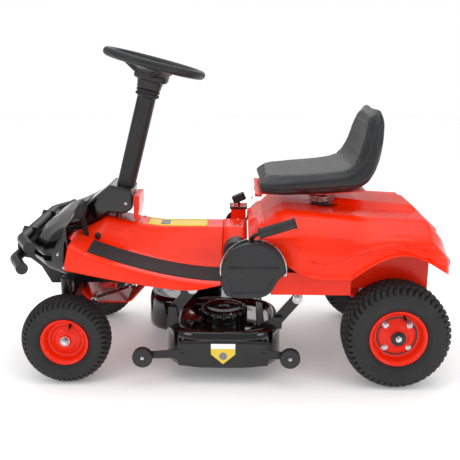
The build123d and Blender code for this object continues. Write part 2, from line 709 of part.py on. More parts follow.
# --- wheels ---
def make_tyre(label, x, y, radius, width, bead_radius, flange_radius):
    """A pneumatic tyre: a hollow carcass closed by the rim."""
    half = width / 2
    axis = Axis((x, 0, radius), (0, 1, 0))
    with BuildPart() as tyre:
        with BuildSketch(Plane(origin=(x, y, radius), x_dir=(0, 1, 0), z_dir=(1, 0, 0))):
            with BuildLine():
                shoulder = radius - 22
                lip = half - BEAD_INSET
                side_in = flange_radius + 5
                side_x = half - 8
                side_mid = (side_in + shoulder) / 2
                Polyline((-side_x, side_in), (-lip, flange_radius + 1), (-lip, bead_radius), (lip, bead_radius),
                         (lip, flange_radius + 1), (side_x, side_in))
                ThreePointArc((side_x, side_in), (half, side_mid), (side_x, shoulder))
                ThreePointArc((side_x, shoulder), (half - 11, radius - 9), (half - 24, radius - 2.5))
                ThreePointArc((half - 24, radius - 2.5), (0, radius), (-half + 24, radius - 2.5))
                ThreePointArc((-half + 24, radius - 2.5), (-half + 11, radius - 9), (-side_x, shoulder))
                ThreePointArc((-side_x, shoulder), (-half, side_mid), (-side_x, side_in))
            make_face()
            with Locations((0, (bead_radius + radius) / 2 - 4)):
                SlotOverall(width - 2 * TYRE_WALL, radius - bead_radius - 2 * TYRE_WALL, mode=Mode.SUBTRACT)
            with Locations((0, bead_radius + 8)):
                Rectangle(width - 60, 30, mode=Mode.SUBTRACT)
        revolve(axis=axis)
    save(tyre, label)


def make_rim(label, x, y, side, radius, width, bead_radius, flange_radius, bore):
    """A pressed steel rim: barrel, two flanges, stepped disc and bore."""
    half = width / 2
    disc = side * (half - 34)
    lip = half - BEAD_INSET
    axis = Axis((x, 0, radius), (0, 1, 0))
    with BuildPart() as rim:
        with BuildSketch(Plane(origin=(x, y, radius), x_dir=(0, 1, 0), z_dir=(1, 0, 0))):
            with Locations((0, bead_radius - RIM_WALL / 2)):
                Rectangle(2 * lip, RIM_WALL)
            for edge in (-1, 1):
                with Locations((edge * (lip + RIM_WALL / 2), (bead_radius - RIM_WALL + flange_radius) / 2)):
                    Rectangle(RIM_WALL, flange_radius - bead_radius + RIM_WALL)
            with Locations((disc, (bead_radius + bore) / 2)):
                Rectangle(RIM_WALL, bead_radius - bore - 1)
            with Locations((disc + side * 6, (bore + 30) / 2)):
                Rectangle(RIM_WALL + 12, 30 - bore)
        revolve(axis=axis)
        if bore > AXLE_SHAFT_RADIUS + 1:
            with BuildSketch(side_plane(y + disc + 30)):
                with Locations((x, radius)):
                    with PolarLocations(LUG_CIRCLE_RADIUS, LUG_COUNT, start_angle=45):
                        Circle(5)
            extrude(amount=60, mode=Mode.SUBTRACT)
    save(rim, label)


def make_rear_hub(name, side):
    """A rear hub plate with its lug bolts and the axle shaft it turns on."""
    disc_y = side * (REAR_WHEEL_Y + REAR_TYRE_WIDTH / 2 - 34 - RIM_WALL / 2)
    with BuildPart() as hub:
        rod_y(AXLE_SHAFT_RADIUS, REAR_AXLE_X, REAR_TYRE_RADIUS, side * 120, disc_y + side * 24)
        rod_y(LUG_CIRCLE_RADIUS + 12, REAR_AXLE_X, REAR_TYRE_RADIUS, disc_y - side * 6, disc_y)
        with BuildSketch(side_plane(disc_y - 6 if side > 0 else disc_y + 6)):
            with Locations((REAR_AXLE_X, REAR_TYRE_RADIUS)):
                with PolarLocations(LUG_CIRCLE_RADIUS, LUG_COUNT, start_angle=45):
                    Circle(5)
        extrude(amount=-side * 18)
        with BuildSketch(side_plane(disc_y + side * RIM_WALL)):
            with Locations((REAR_AXLE_X, REAR_TYRE_RADIUS)):
                with PolarLocations(LUG_CIRCLE_RADIUS, LUG_COUNT, start_angle=45):
                    RegularPolygon(8, 6)
        extrude(amount=-side * 6)
        rod_y(AXLE_SHAFT_RADIUS + 5, REAR_AXLE_X, REAR_TYRE_RADIUS, disc_y + side * 16, disc_y + side * 22)
    save(hub, f"rear_hub_{name}")


def make_wheels():
    """All four wheels."""
    for name, side in SIDES.items():
        make_tyre(f"front_tyre_{name}", FRONT_AXLE_X, side * FRONT_WHEEL_Y, FRONT_TYRE_RADIUS,
                  FRONT_TYRE_WIDTH, FRONT_BEAD_RADIUS, FRONT_FLANGE_RADIUS)
        make_rim(f"front_rim_{name}", FRONT_AXLE_X, side * FRONT_WHEEL_Y, side, FRONT_TYRE_RADIUS,
                 FRONT_TYRE_WIDTH, FRONT_BEAD_RADIUS, FRONT_FLANGE_RADIUS, AXLE_SHAFT_RADIUS + RUNNING_FIT)
        make_tyre(f"rear_tyre_{name}", REAR_AXLE_X, side * REAR_WHEEL_Y, REAR_TYRE_RADIUS, REAR_TYRE_WIDTH,
                  REAR_BEAD_RADIUS, REAR_FLANGE_RADIUS)
        make_rim(f"rear_rim_{name}", REAR_AXLE_X, side * REAR_WHEEL_Y, side, REAR_TYRE_RADIUS, REAR_TYRE_WIDTH,
                 REAR_BEAD_RADIUS, REAR_FLANGE_RADIUS, AXLE_SHAFT_RADIUS + 5.5)
        make_rear_hub(name, side)


# --- engine and drive ---
def make_engine():
    """Vertical-shaft engine: crankcase and cylinder, cowling, and the pulley on its shaft."""
    with BuildPart() as engine_block:
        block(ENGINE_X - ENGINE_HALF, ENGINE_X + ENGINE_HALF, -ENGINE_HALF, ENGINE_HALF,
              RAIL_TOP_Z, ENGINE_BLOCK_TOP_Z)
        fillet(engine_block.edges().filter_by(Axis.Z), 24)
        for fin in range(6):
            z = RAIL_TOP_Z + 18 + 14 * fin
            block(ENGINE_X - 60, ENGINE_X + 60, ENGINE_HALF - 5, ENGINE_HALF + 55, z, z + 6)
        block(ENGINE_X - 40, ENGINE_X + 40, ENGINE_HALF - 5, ENGINE_HALF + 48, RAIL_TOP_Z + 18, RAIL_TOP_Z + 94)
        with BuildSketch(Plane.XY.offset(RAIL_TOP_Z)):
            with Locations((ENGINE_X, 0)):
                Circle(CRANKSHAFT_RADIUS + RUNNING_FIT)
        extrude(amount=40.5, mode=Mode.SUBTRACT)
    save(engine_block, "engine_block")
    with BuildPart() as engine_cover:
        with BuildSketch(Plane.XY.offset(ENGINE_BLOCK_TOP_Z)):
            with Locations((ENGINE_X, 0)):
                Circle(ENGINE_HALF + 4)
        extrude(amount=ENGINE_COVER_TOP_Z - ENGINE_BLOCK_TOP_Z)
        fillet(engine_cover.faces().sort_by(Axis.Z)[-1].edges(), 20)
        with BuildSketch(Plane.XY.offset(ENGINE_BLOCK_TOP_Z)):
            with Locations((ENGINE_X, 0)):
                Circle(ENGINE_HALF)
        extrude(amount=ENGINE_COVER_TOP_Z - ENGINE_BLOCK_TOP_Z - 24, mode=Mode.SUBTRACT)
    save(engine_cover, "engine_cover")
    make_pulley("engine_pulley", ENGINE_X, PULLEY_RADIUS, CRANKSHAFT_RADIUS, RAIL_TOP_Z + 40)


def make_pulley(label, x, radius, shaft_radius, shaft_end_z):
    """A V-belt pulley keyed on its upright shaft."""
    top = PULLEY_Z + PULLEY_HEIGHT
    with BuildPart() as pulley:
        with BuildSketch(Plane(origin=(x, 0, 0), x_dir=(1, 0, 0), z_dir=(0, -1, 0))):
            Polygon((0, PULLEY_Z), (radius, PULLEY_Z), (radius - 9, PULLEY_Z + PULLEY_HEIGHT / 2),
                    (radius, top), (0, top), align=None)
        revolve(axis=Axis((x, 0, 0), (0, 0, 1)))
        with BuildSketch(Plane.XY.offset(min(PULLEY_Z, shaft_end_z))):
            with Locations((x, 0)):
                Circle(shaft_radius)
        extrude(amount=abs(shaft_end_z - PULLEY_Z))
    save(pulley, label)


def make_transaxle():
    """Rear gearbox with its axle tubes, input pulley and the belt from the engine."""
    with BuildPart() as transaxle:
        block(TRANSAXLE_X - 60, TRANSAXLE_X + 45, -70, 70, REAR_TYRE_RADIUS - 50, REAR_TYRE_RADIUS + 55)
        fillet(transaxle.edges().filter_by(Axis.Y), 22)
        for side in (-1, 1):
            rod_y(24, REAR_AXLE_X, REAR_TYRE_RADIUS, side * 60, side * 205)
        rod_y(AXLE_SHAFT_RADIUS + RUNNING_FIT, REAR_AXLE_X, REAR_TYRE_RADIUS, -210, 210, mode=Mode.SUBTRACT)
        with BuildSketch(Plane.XY.offset(REAR_TYRE_RADIUS + 30)):
            with Locations((TRANSAXLE_X, 0)):
                Circle(INPUT_SHAFT_RADIUS + RUNNING_FIT)
        extrude(amount=60, mode=Mode.SUBTRACT)
        for side in (-1, 1):
            block(REAR_AXLE_X - 26, REAR_AXLE_X + 26, side * 186, side * 191, REAR_TYRE_RADIUS - 30, 286)
            rod_y(24, REAR_AXLE_X, REAR_TYRE_RADIUS, side * 186, side * 191)
        rod_y(AXLE_SHAFT_RADIUS + RUNNING_FIT, REAR_AXLE_X, REAR_TYRE_RADIUS, -210, 210, mode=Mode.SUBTRACT)
    save(transaxle, "transaxle")
    make_pulley("transaxle_pulley", TRANSAXLE_X, TRANSAXLE_PULLEY_RADIUS, INPUT_SHAFT_RADIUS,
                REAR_TYRE_RADIUS + 30.5)
    with BuildPart() as drive_belt:
        with BuildSketch(Plane.XY.offset(PULLEY_Z + 5)):
            with Locations((ENGINE_X, 0)):
                Circle(PULLEY_RADIUS + 5)
            with Locations((TRANSAXLE_X, 0)):
                Circle(TRANSAXLE_PULLEY_RADIUS + 5)
            make_hull()
        extrude(amount=6)
        with BuildSketch(Plane.XY.offset(PULLEY_Z + 5)):
            with Locations((ENGINE_X, 0)):
                Circle(PULLEY_RADIUS + 0.2)
            with Locations((TRANSAXLE_X, 0)):
                Circle(TRANSAXLE_PULLEY_RADIUS + 0.2)
            make_hull()
        extrude(amount=6, mode=Mode.SUBTRACT)
    save(drive_belt, "drive_belt")


def make_fuel_tank():
    """Fuel tank behind the engine, with its filler cap."""
    with BuildPart() as fuel_tank:
        block(552, 640, -80, 80, RAIL_TOP_Z + 6, 400)
        fillet(fuel_tank.edges().filter_by(Axis.Z), 18)
        with Locations((596, 0, 400)):
            Cylinder(24, 22, align=(Align.CENTER, Align.CENTER, Align.MIN))
        block(560, FRAME_REAR_X, -80, 80, RAIL_TOP_Z, RAIL_TOP_Z + 6)
    save(fuel_tank, "fuel_tank")


def make_tail_lights():
    """Two dark reflectors on the rear face of the fenders."""
    with BuildPart() as tail_lights:
        for side in (-1, 1):
            with BuildSketch(Plane.YZ.offset(FENDER_REAR_X + SHELL)):
                with Locations((side * 200, 372)):
                    SlotOverall(70, 26)
            extrude(amount=680 - FENDER_REAR_X - SHELL)
    save(tail_lights, "tail_lights")


# --- seat ---
def make_seat():
    """The seat: red pan with hinge ears, one-piece cushion and two coil springs."""
    with BuildPart() as seat_pan:
        plate_between([(84, SEAT_PAN_Z), (300, SEAT_PAN_Z), (428, SEAT_PAN_Z + 12), (428, SEAT_PAN_Z + 15),
                       (300, SEAT_PAN_Z + 3), (84, SEAT_PAN_Z + 3)], -140, 140)
        for side in (-1, 1):
            block(SEAT_PIVOT_X - 11, SEAT_PIVOT_X + 11, side * 52, side * 56, SEAT_PIVOT_Z - 12, SEAT_PAN_Z)
        rod_y(LINK_PIN_RADIUS + RUNNING_FIT, SEAT_PIVOT_X, SEAT_PIVOT_Z, -60, 60, mode=Mode.SUBTRACT)
    save(seat_pan, "seat_pan")
    with BuildPart() as seat_cushion:
        with BuildSketch(side_plane(SEAT_HALF)):
            with BuildLine():
                Polyline((96, SEAT_PAN_Z + 3.5), (300, SEAT_PAN_Z + 3.5), (393, 578))
                Spline((393, 578), (440, 604), (452, 662), (467, 740), (468, 804))
                Spline((468, 804), (453, 838), (430, 830))
                Spline((430, 830), (420, 790), (392, 687), (360, 650))
                Spline((360, 650), (277, 632), (168, 620), (92, 622))
                Spline((92, 622), (80, 596), (96, SEAT_PAN_Z + 3.5))
            make_face()
        extrude(amount=2 * SEAT_HALF)
        with BuildSketch(Plane.YZ.offset(60)):
            with BuildLine():
                Polyline((-120, 560), (120, 560))
                Spline((120, 560), (192, 590), (SEAT_HALF, 640), (190, 760), (140, 842))
                Polyline((140, 842), (-140, 842))
                Spline((-140, 842), (-190, 760), (-SEAT_HALF, 640), (-192, 590), (-120, 560))
            make_face()
        extrude(amount=440, mode=Mode.INTERSECT)
    save(seat_cushion, "seat_cushion")
    height = SEAT_PAN_Z - SPRING_BOTTOM_Z
    with BuildPart() as seat_springs:
        for side in (-1, 1):
            centre = (SPRING_X, side * SPRING_Y, SPRING_BOTTOM_Z + SPRING_WIRE + 0.5)
            turns = 3
            rise = height - 2 * SPRING_WIRE - 1
            coil = Helix(rise / turns, rise, SPRING_RADIUS, center=centre)
            with BuildSketch(Plane(origin=coil @ 0, z_dir=coil % 0)):
                Circle(SPRING_WIRE)
            sweep(path=coil, is_frenet=True)
    save(seat_springs, "seat_springs")


def make_seat_hinge():
    """The hinge bracket on the riser with the pin that the seat tilts on."""
    with BuildPart() as seat_hinge:
        for side in (-1, 1):
            block(SEAT_PIVOT_X - 9, SEAT_PIVOT_X + 13, side * 44, side * 49, 538, SEAT_PIVOT_Z + 7)
        block(SEAT_PIVOT_X + 1, SEAT_PIVOT_X + 13, -49, 49, 538, 542)
        rod_y(LINK_PIN_RADIUS, SEAT_PIVOT_X, SEAT_PIVOT_Z, -62, 62)
    save(seat_hinge, "seat_hinge")


# --- deck lift lever ---
def lever_outline():
    """Control points of the lever cover, a D with its round side up."""
    return [(-20, 385), (-16, 325), (-6, 298), (38, 288), (102, 293), (126, 305), (150, 350), (172, 381)]


def make_lever_group():
    """Quadrant plate, moulded cover, lift lever, grip and the lift rod."""
    lever_plate_y = -309.0
    with BuildPart() as lever_quadrant:
        with BuildSketch(side_plane(-300)):
            with Locations((LEVER_X, LEVER_Z)):
                Circle(100)
            with Locations((LEVER_X, LEVER_Z - 90)):
                Rectangle(230, 150, mode=Mode.SUBTRACT)
            with Locations((LEVER_X, LEVER_Z)):
                with PolarLocations(100, 5, start_angle=52, angular_range=46, endpoint=True):
                    Circle(5, mode=Mode.SUBTRACT)
                Circle(28)
        extrude(amount=4)
        rod_y(LEVER_TUBE_RADIUS, LEVER_X, LEVER_Z, -300, -212)
        for x in (-8, 158):
            rod_y(6, x, LEVER_Z + 26, -304, -317)
        rod_y(LIFT_SHAFT_RADIUS + RUNNING_FIT, LEVER_X, LEVER_Z, -305, -211, mode=Mode.SUBTRACT)
    save(lever_quadrant, "lever_quadrant")
    points = lever_outline()
    with BuildPart() as lever_cover:
        with BuildSketch(side_plane(-317)):
            with BuildLine():
                Polyline(*points)
                ThreePointArc(points[-1], (LEVER_X, LEVER_Z + 94), points[0])
            make_face()
        extrude(amount=28)
        fillet(lever_cover.faces().sort_by(Axis.Y)[0].edges(), 5)
        rod_y(18, LEVER_X, LEVER_Z, -317, -330, mode=Mode.SUBTRACT)
    save(lever_cover, "lever_cover")
    grip_start = Vector(90, -330, 485)
    grip_end = Vector(197, -330, 519)
    with BuildPart() as lift_lever:
        blade_outline = [(LEVER_X - 14, LEVER_Z - 14), (LEVER_X + 14, LEVER_Z - 14),
                         (LEVER_X + 14, LEVER_Z + 14), (72, 455), (56, 455), (LEVER_X - 14, LEVER_Z + 14)]
        plate_between(blade_outline, lever_plate_y, lever_plate_y - PLATE)
        rod_y(LIFT_SHAFT_RADIUS, LEVER_X, LEVER_Z, lever_plate_y - PLATE - 5, -190)
        crank_outline = [(LEVER_X - 12, LEVER_Z - 12), (LEVER_X + 12, LEVER_Z - 12),
                         (LEVER_X + 10, LEVER_Z + LIFT_ARM + 9), (LEVER_X - 10, LEVER_Z + LIFT_ARM + 9)]
        plate_between(crank_outline, -196, -201)
        rod_y(ROD_PIN_RADIUS, LEVER_X, LEVER_Z + LIFT_ARM, -196, -209)
        with BuildLine(mode=Mode.PRIVATE) as route:
            FilletPolyline((64, -310, 430), (68, -311, 466), (80, -330, 481.8), tuple(grip_end), radius=9)
        path = route.wire()
        with BuildSketch(Plane(origin=path @ 0, z_dir=path % 0)):
            Circle(6)
        sweep(path=path)
    save(lift_lever, "lift_lever")
    along = grip_end - grip_start
    grip_length = along.length
    with BuildPart() as lever_grip:
        with BuildSketch(Plane(origin=grip_start, z_dir=along)):
            Circle(15.5)
        extrude(amount=grip_length)
        for place in (0, grip_length - 5):
            with BuildSketch(Plane(origin=grip_start, z_dir=along).offset(place)):
                Circle(18)
            extrude(amount=5)
        with BuildSketch(Plane(origin=grip_start, z_dir=along)):
            Circle(6)
        extrude(amount=grip_length, mode=Mode.SUBTRACT)
    save(lever_grip, "lever_grip")
    rod_from = Vector(LEVER_X, -202, LEVER_Z + LIFT_ARM)
    rod_to = Vector(REAR_LIFT_X, -202, REAR_LIFT_Z + LIFT_ARM)
    middle = (rod_from + rod_to) / 2
    angle = math.degrees(math.atan2(rod_to.Z - rod_from.Z, rod_to.X - rod_from.X))
    with BuildPart() as lift_rod:
        with BuildSketch(side_plane(-202)):
            with Locations(Location((middle.X, middle.Z), angle)):
                SlotCenterToCenter((rod_to - rod_from).length, 22)
            with Locations((rod_from.X, rod_from.Z)):
                Circle(ROD_PIN_RADIUS + RUNNING_FIT, mode=Mode.SUBTRACT)
            with Locations((rod_to.X, rod_to.Z)):
                Circle(ROD_PIN_RADIUS + OPEN_PIVOT_CLEARANCE, mode=Mode.SUBTRACT)
        extrude(amount=PLATE)
    save(lift_rod, "lift_rod")


def make_links():
    """Front and rear lift shafts with their deck links welded on."""
    for label, x, z in (("front_links", FRONT_LIFT_X, FRONT_LIFT_Z), ("rear_links", REAR_LIFT_X, REAR_LIFT_Z)):
        angle = math.degrees(math.atan2(LINK_DZ, LINK_DX))
        clearance = RUNNING_FIT if label == "front_links" else OPEN_PIVOT_CLEARANCE
        with BuildPart() as links:
            rod_y(LIFT_SHAFT_RADIUS, x, z, -LINK_Y - PLATE - 3, LINK_Y + PLATE + 3)
            for side in (-1, 1):
                with BuildSketch(side_plane(side * LINK_Y if side < 0 else LINK_Y + PLATE)):
                    with Locations(Location((x + LINK_DX / 2, z + LINK_DZ / 2), angle)):
                        SlotCenterToCenter(math.hypot(LINK_DX, LINK_DZ), 34)
                    with Locations((x + LINK_DX, z + LINK_DZ)):
                        Circle(LINK_PIN_RADIUS + clearance, mode=Mode.SUBTRACT)
                extrude(amount=PLATE)
                rod_y(14, x, z, side * (LINK_Y + PLATE), side * (LINK_Y + PLATE + 8))
            if label == "rear_links":
                plate_between([(x - 12, z - 10), (x + 12, z - 10), (x + 10, z + LIFT_ARM + 9),
                               (x - 10, z + LIFT_ARM + 9)], -210, -215)
                rod_y(ROD_PIN_RADIUS, x, z + LIFT_ARM, -201, -215)
        save(links, label)


# --- deck ---
def deck_plan(inset):
    """Plan of the two staggered lobes, drawn in by an inset, in the active sketch."""
    for x, y in ((LEFT_LOBE_X, LEFT_LOBE_Y), (RIGHT_LOBE_X, RIGHT_LOBE_Y)):
        with Locations((x, y)):
            RectangleRounded(LOBE_LENGTH - 2 * inset, LOBE_WIDTH - 2 * inset, LOBE_CORNER - inset)
    with Locations(((LEFT_LOBE_X + RIGHT_LOBE_X) / 2, 0)):
        Rectangle(LOBE_LENGTH + LOBE_STAGGER - 2 * inset, 300)


def make_deck():
    """The cutting deck: pressed shell with skirts, hanger brackets and wheel arms."""
    with BuildPart() as deck_shell:
        with BuildSketch(Plane.XY.offset(DECK_BOTTOM_Z)):
            deck_plan(0)
        extrude(amount=DECK_TOP_Z - DECK_BOTTOM_Z)
        fillet(deck_shell.faces().sort_by(Axis.Z)[-1].edges(), 16)
        with BuildSketch(Plane.XY.offset(DECK_BOTTOM_Z)):
            deck_plan(DECK_SHEET)
        extrude(amount=DECK_TOP_Z - DECK_BOTTOM_Z - DECK_SHEET - 14, mode=Mode.SUBTRACT)
        with BuildSketch(Plane.XY.offset(DECK_TOP_Z - DECK_SHEET - 14)):
            deck_plan(DECK_SHEET + 14)
        extrude(amount=14, mode=Mode.SUBTRACT)
        block(CHUTE_X - CHUTE_LENGTH / 2 + 5, CHUTE_X + CHUTE_LENGTH / 2 - 5, 300, CHUTE_Y + 10,
              DECK_BOTTOM_Z, DECK_TOP_Z - 34, mode=Mode.SUBTRACT)
        for side in (-1, 1):
            outer = side * (LINK_Y + PLATE + 9)
            front_x = FRONT_LIFT_X + LINK_DX
            rear_x = REAR_LIFT_X + LINK_DX
            front_z = FRONT_LIFT_Z + LINK_DZ
            rear_z = REAR_LIFT_Z + LINK_DZ
            plate_between([(front_x - 14, DECK_TOP_Z - 3), (front_x + 14, DECK_TOP_Z - 3), (front_x + 12, 236),
                           (front_x + 26, 282), (front_x - 20, 282), (front_x - 14, 236)],
                          outer, outer + side * 4)
            plate_between([(rear_x - 60, DECK_TOP_Z - 3), (rear_x + 14, DECK_TOP_Z), (rear_x + 14, rear_z + 13),
                           (rear_x - 14, rear_z + 13), (rear_x - 60, DECK_TOP_Z + 6)], outer, outer + side * 4)
            for x, z in ((front_x, front_z), (rear_x, rear_z)):
                rod_y(LINK_PIN_RADIUS, x, z, side * (LINK_Y - 4), outer + side * 4)
        block(rear_x - 62, rear_x - 40, -outer, outer, DECK_TOP_Z - 3, DECK_TOP_Z + 5)
        for x, end in ((LEFT_LOBE_X - 90, DECK_WHEEL_X[0]), (LEFT_LOBE_X + 90, DECK_WHEEL_X[1])):
            block(min(x, end), max(x, end), -DECK_ARM_Y + 4, -DECK_ARM_Y, DECK_WHEEL_Z - 10, DECK_WHEEL_Z + 12)
            rod_y(12, end, DECK_WHEEL_Z, -DECK_ARM_Y + 4, -DECK_ARM_Y)
            rod_y(5, end, DECK_WHEEL_Z, -DECK_ARM_Y, -DECK_WHEEL_Y - DECK_WHEEL_WIDTH / 2 - 1)
            rod_y(8, end, DECK_WHEEL_Z, -DECK_WHEEL_Y - DECK_WHEEL_WIDTH / 2 - 0.5,
                  -DECK_WHEEL_Y - DECK_WHEEL_WIDTH / 2 - 3)
        for x in (CHUTE_X - CHUTE_LENGTH / 2 - 6, CHUTE_X + CHUTE_LENGTH / 2 + 2):
            block(x, x + 4, CHUTE_Y - 3, CHUTE_Y + 16, CHUTE_PIN_Z - 7, CHUTE_PIN_Z + 7)
        with BuildSketch(Plane.YZ.offset(CHUTE_X - CHUTE_LENGTH / 2 - 6)):
            with Locations((CHUTE_PIN_Y, CHUTE_PIN_Z)):
                Circle(3)
        extrude(amount=CHUTE_LENGTH + 12)
        for x, y in ((LEFT_LOBE_X, LEFT_LOBE_Y), (RIGHT_LOBE_X, RIGHT_LOBE_Y)):
            with BuildSketch(Plane.XY.offset(BLADE_Z)):
                with Locations((x, y)):
                    Circle(SPINDLE_RADIUS + RUNNING_FIT)
            extrude(amount=DECK_TOP_Z, mode=Mode.SUBTRACT)
            with BuildSketch(Plane.XY.offset(BLADE_Z + 22)):
                with Locations((x, y)):
                    Circle(30)
                    Circle(SPINDLE_RADIUS + RUNNING_FIT, mode=Mode.SUBTRACT)
            extrude(amount=DECK_TOP_Z - BLADE_Z - 22)
    save(deck_shell, "deck_shell")


def make_deck_parts():
    """Pulley covers, blades with spindles, discharge chute and small wheels."""
    with BuildPart() as pulley_covers:
        for x, y in ((LEFT_LOBE_X, LEFT_LOBE_Y), (RIGHT_LOBE_X, RIGHT_LOBE_Y)):
            with BuildSketch(Plane.XY.offset(DECK_TOP_Z)):
                with Locations((x, y)):
                    Circle(COVER_RADIUS)
                    with PolarLocations(COVER_RADIUS + 1, 16):
                        Circle(3)
            extrude(amount=COVER_TOP_Z - DECK_TOP_Z)
            with BuildSketch(Plane.XY.offset(DECK_TOP_Z)):
                with Locations((x, y)):
                    Circle(COVER_RADIUS - 4)
            extrude(amount=COVER_TOP_Z - DECK_TOP_Z - 4, mode=Mode.SUBTRACT)
    save(pulley_covers, "pulley_covers")
    for name, x, y in (("left", LEFT_LOBE_X, LEFT_LOBE_Y), ("right", RIGHT_LOBE_X, RIGHT_LOBE_Y)):
        with BuildPart() as blade:
            block(x - BLADE_LENGTH / 2, x + BLADE_LENGTH / 2, y - 22, y + 22, BLADE_Z, BLADE_Z + 3.5)
            with BuildSketch(Plane.XY.offset(BLADE_Z - 8)):
                with Locations((x, y)):
                    RegularPolygon(12, 6)
            extrude(amount=8)
            with BuildSketch(Plane.XY.offset(BLADE_Z)):
                with Locations((x, y)):
                    Circle(SPINDLE_RADIUS)
            extrude(amount=COVER_TOP_Z - 8 - BLADE_Z)
            with BuildSketch(Plane.XY.offset(BLADE_Z + 3.5)):
                with Locations((x, y)):
                    Circle(26)
            extrude(amount=14)
            with BuildSketch(Plane.XY.offset(DECK_TOP_Z + 6)):
                with Locations((x, y)):
                    Circle(46)
            extrude(amount=16)
        save(blade, f"blade_{name}")
    chute_from = CHUTE_X - CHUTE_LENGTH / 2
    chute_to = CHUTE_X + CHUTE_LENGTH / 2
    with BuildPart() as discharge_chute:
        block(chute_from, chute_to, CHUTE_Y + 4, CHUTE_Y + 26, CHUTE_PIN_Z - 6, CHUTE_PIN_Z + 6)
        block(chute_from, chute_to, CHUTE_Y + 22, CHUTE_Y + 26, DECK_BOTTOM_Z + 6, CHUTE_PIN_Z)
        for x in (chute_from, chute_to - 4):
            block(x, x + 4, CHUTE_Y + 4, CHUTE_Y + 26, DECK_BOTTOM_Z + 6, CHUTE_PIN_Z)
        with BuildSketch(Plane.YZ.offset(chute_from)):
            with Locations((CHUTE_PIN_Y, CHUTE_PIN_Z)):
                Circle(3 + RUNNING_FIT)
        extrude(amount=CHUTE_LENGTH, mode=Mode.SUBTRACT)
    save(discharge_chute, "discharge_chute")
    for place, x in (("front", DECK_WHEEL_X[0]), ("rear", DECK_WHEEL_X[1])):
        with BuildPart() as wheel:
            rod_y(DECK_WHEEL_RADIUS, x, DECK_WHEEL_Z, -DECK_WHEEL_Y - DECK_WHEEL_WIDTH / 2,
                  -DECK_WHEEL_Y + DECK_WHEEL_WIDTH / 2)
            fillet(wheel.edges().filter_by(GeomType.CIRCLE), 5)
            rod_y(5 + RUNNING_FIT, x, DECK_WHEEL_Z, -350, -300, mode=Mode.SUBTRACT)
        save(wheel, f"deck_wheel_{place}")


# --- controls ---
def make_controls():
    """Clutch and brake pedal, parking brake lever, gear console and gear lever."""
    with BuildPart() as clutch_pedal:
        plate_between([(-468, 497), (-452, 497), (-441, 440), (-447, 350), (-463, 350), (-457, 440)], -153, -163)
        plate_between([(-478, 497), (-473, 522), (-459, 541), (-453, 538), (-447, 515), (-452, 495),
                       (-463, 493)], -192, -132)
        rod_y(LIFT_SHAFT_RADIUS, PEDAL_X, PEDAL_Z, -RAIL_OUTER_Y - 8, -172)
        rod_y(14, PEDAL_X, PEDAL_Z, -150, -166)
    save(clutch_pedal, "clutch_pedal")
    with BuildPart() as pedal_bracket:
        block(PEDAL_X - 14, PEDAL_X + 14, -RAIL_OUTER_Y, -RAIL_OUTER_Y - 7.5, RAIL_BOTTOM_Z + 10, PEDAL_Z + 12)
        block(PEDAL_X - 14, BRAKE_X + 12, -RAIL_OUTER_Y, -RAIL_OUTER_Y - 7.5, BRAKE_Z - 44, BRAKE_Z + 8)
        block(PEDAL_X - 14, PEDAL_X + 14, -128, -138, PEDAL_Z - 14, PEDAL_Z + 12)
        block(PEDAL_X - 14, PEDAL_X + 14, -RAIL_OUTER_Y, -138, PEDAL_Z - 19, PEDAL_Z - 14)
        rod_y(LIFT_SHAFT_RADIUS + RUNNING_FIT, PEDAL_X, PEDAL_Z, -100, -180, mode=Mode.SUBTRACT)
        rod_y(4, BRAKE_X, BRAKE_Z, -RAIL_OUTER_Y, -167)
    save(pedal_bracket, "pedal_bracket")
    with BuildPart() as parking_brake:
        rod_y(9, BRAKE_X, BRAKE_Z, -153, -165)
        with BuildSketch(Plane.XY.offset(BRAKE_Z)):
            with Locations((BRAKE_X, -159)):
                Circle(3.5)
        extrude(amount=55)
        with Locations((BRAKE_X, -159, BRAKE_Z + 60)):
            Sphere(10)
        rod_y(4 + RUNNING_FIT, BRAKE_X, BRAKE_Z, -150, -170, mode=Mode.SUBTRACT)
    save(parking_brake, "parking_brake")
    with BuildPart() as gear_console:
        block(6, 58, 112, 178, 396, 462)
        block(2, 62, 108, 182, 462, 468)
        block(10, 54, 116, 174, 392, 458, mode=Mode.SUBTRACT)
        block(16, 52, 138, 152, 450, 470, mode=Mode.SUBTRACT)
        block(2, 62, 108, 139, 390, 408, mode=Mode.SUBTRACT)
        rod_y(4, GEAR_X, GEAR_Z + 2, 112, 178)
    save(gear_console, "gear_console")
    with BuildPart() as gear_lever:
        rod_y(9, GEAR_X, GEAR_Z + 2, GEAR_Y - 6, GEAR_Y + 6)
        with BuildSketch(Plane.XY.offset(GEAR_Z + 2)):
            with Locations((GEAR_X, GEAR_Y)):
                Circle(4)
        extrude(amount=70)
        knob_base = Plane(origin=(GEAR_X + 4, GEAR_Y, GEAR_Z + 75.5), x_dir=(1, 0, 0.45), z_dir=(-0.45, 0, 1))
        with BuildSketch(knob_base):
            RectangleRounded(46, 34, 10)
        extrude(amount=24)
        rod_y(4 + RUNNING_FIT, GEAR_X, GEAR_Z + 2, GEAR_Y - 10, GEAR_Y + 10, mode=Mode.SUBTRACT)
    save(gear_lever, "gear_lever")


make_main_frame()
make_front_body()
make_foot_pads()
make_rear_body()
make_inner_panels()
make_side_vents()
make_front_cowl()
make_dash_console()
make_console_support()
make_steering_column()
make_steering_wheel()
make_steering_shaft()
make_bumper()
make_steering_guard()
make_axle_beam()
for knuckle_name, knuckle_side in SIDES.items():
    make_knuckle(knuckle_name, knuckle_side)
make_tie_rods()
make_wheels()
make_engine()
make_transaxle()
make_fuel_tank()
make_tail_lights()
make_seat()
make_seat_hinge()
make_lever_group()
make_links()
make_deck()
make_deck_parts()
make_controls()
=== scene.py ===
"""Riding lawn mower: red pressed body, black nose and console, sprung seat, turf tyres and a lifting deck."""
import math

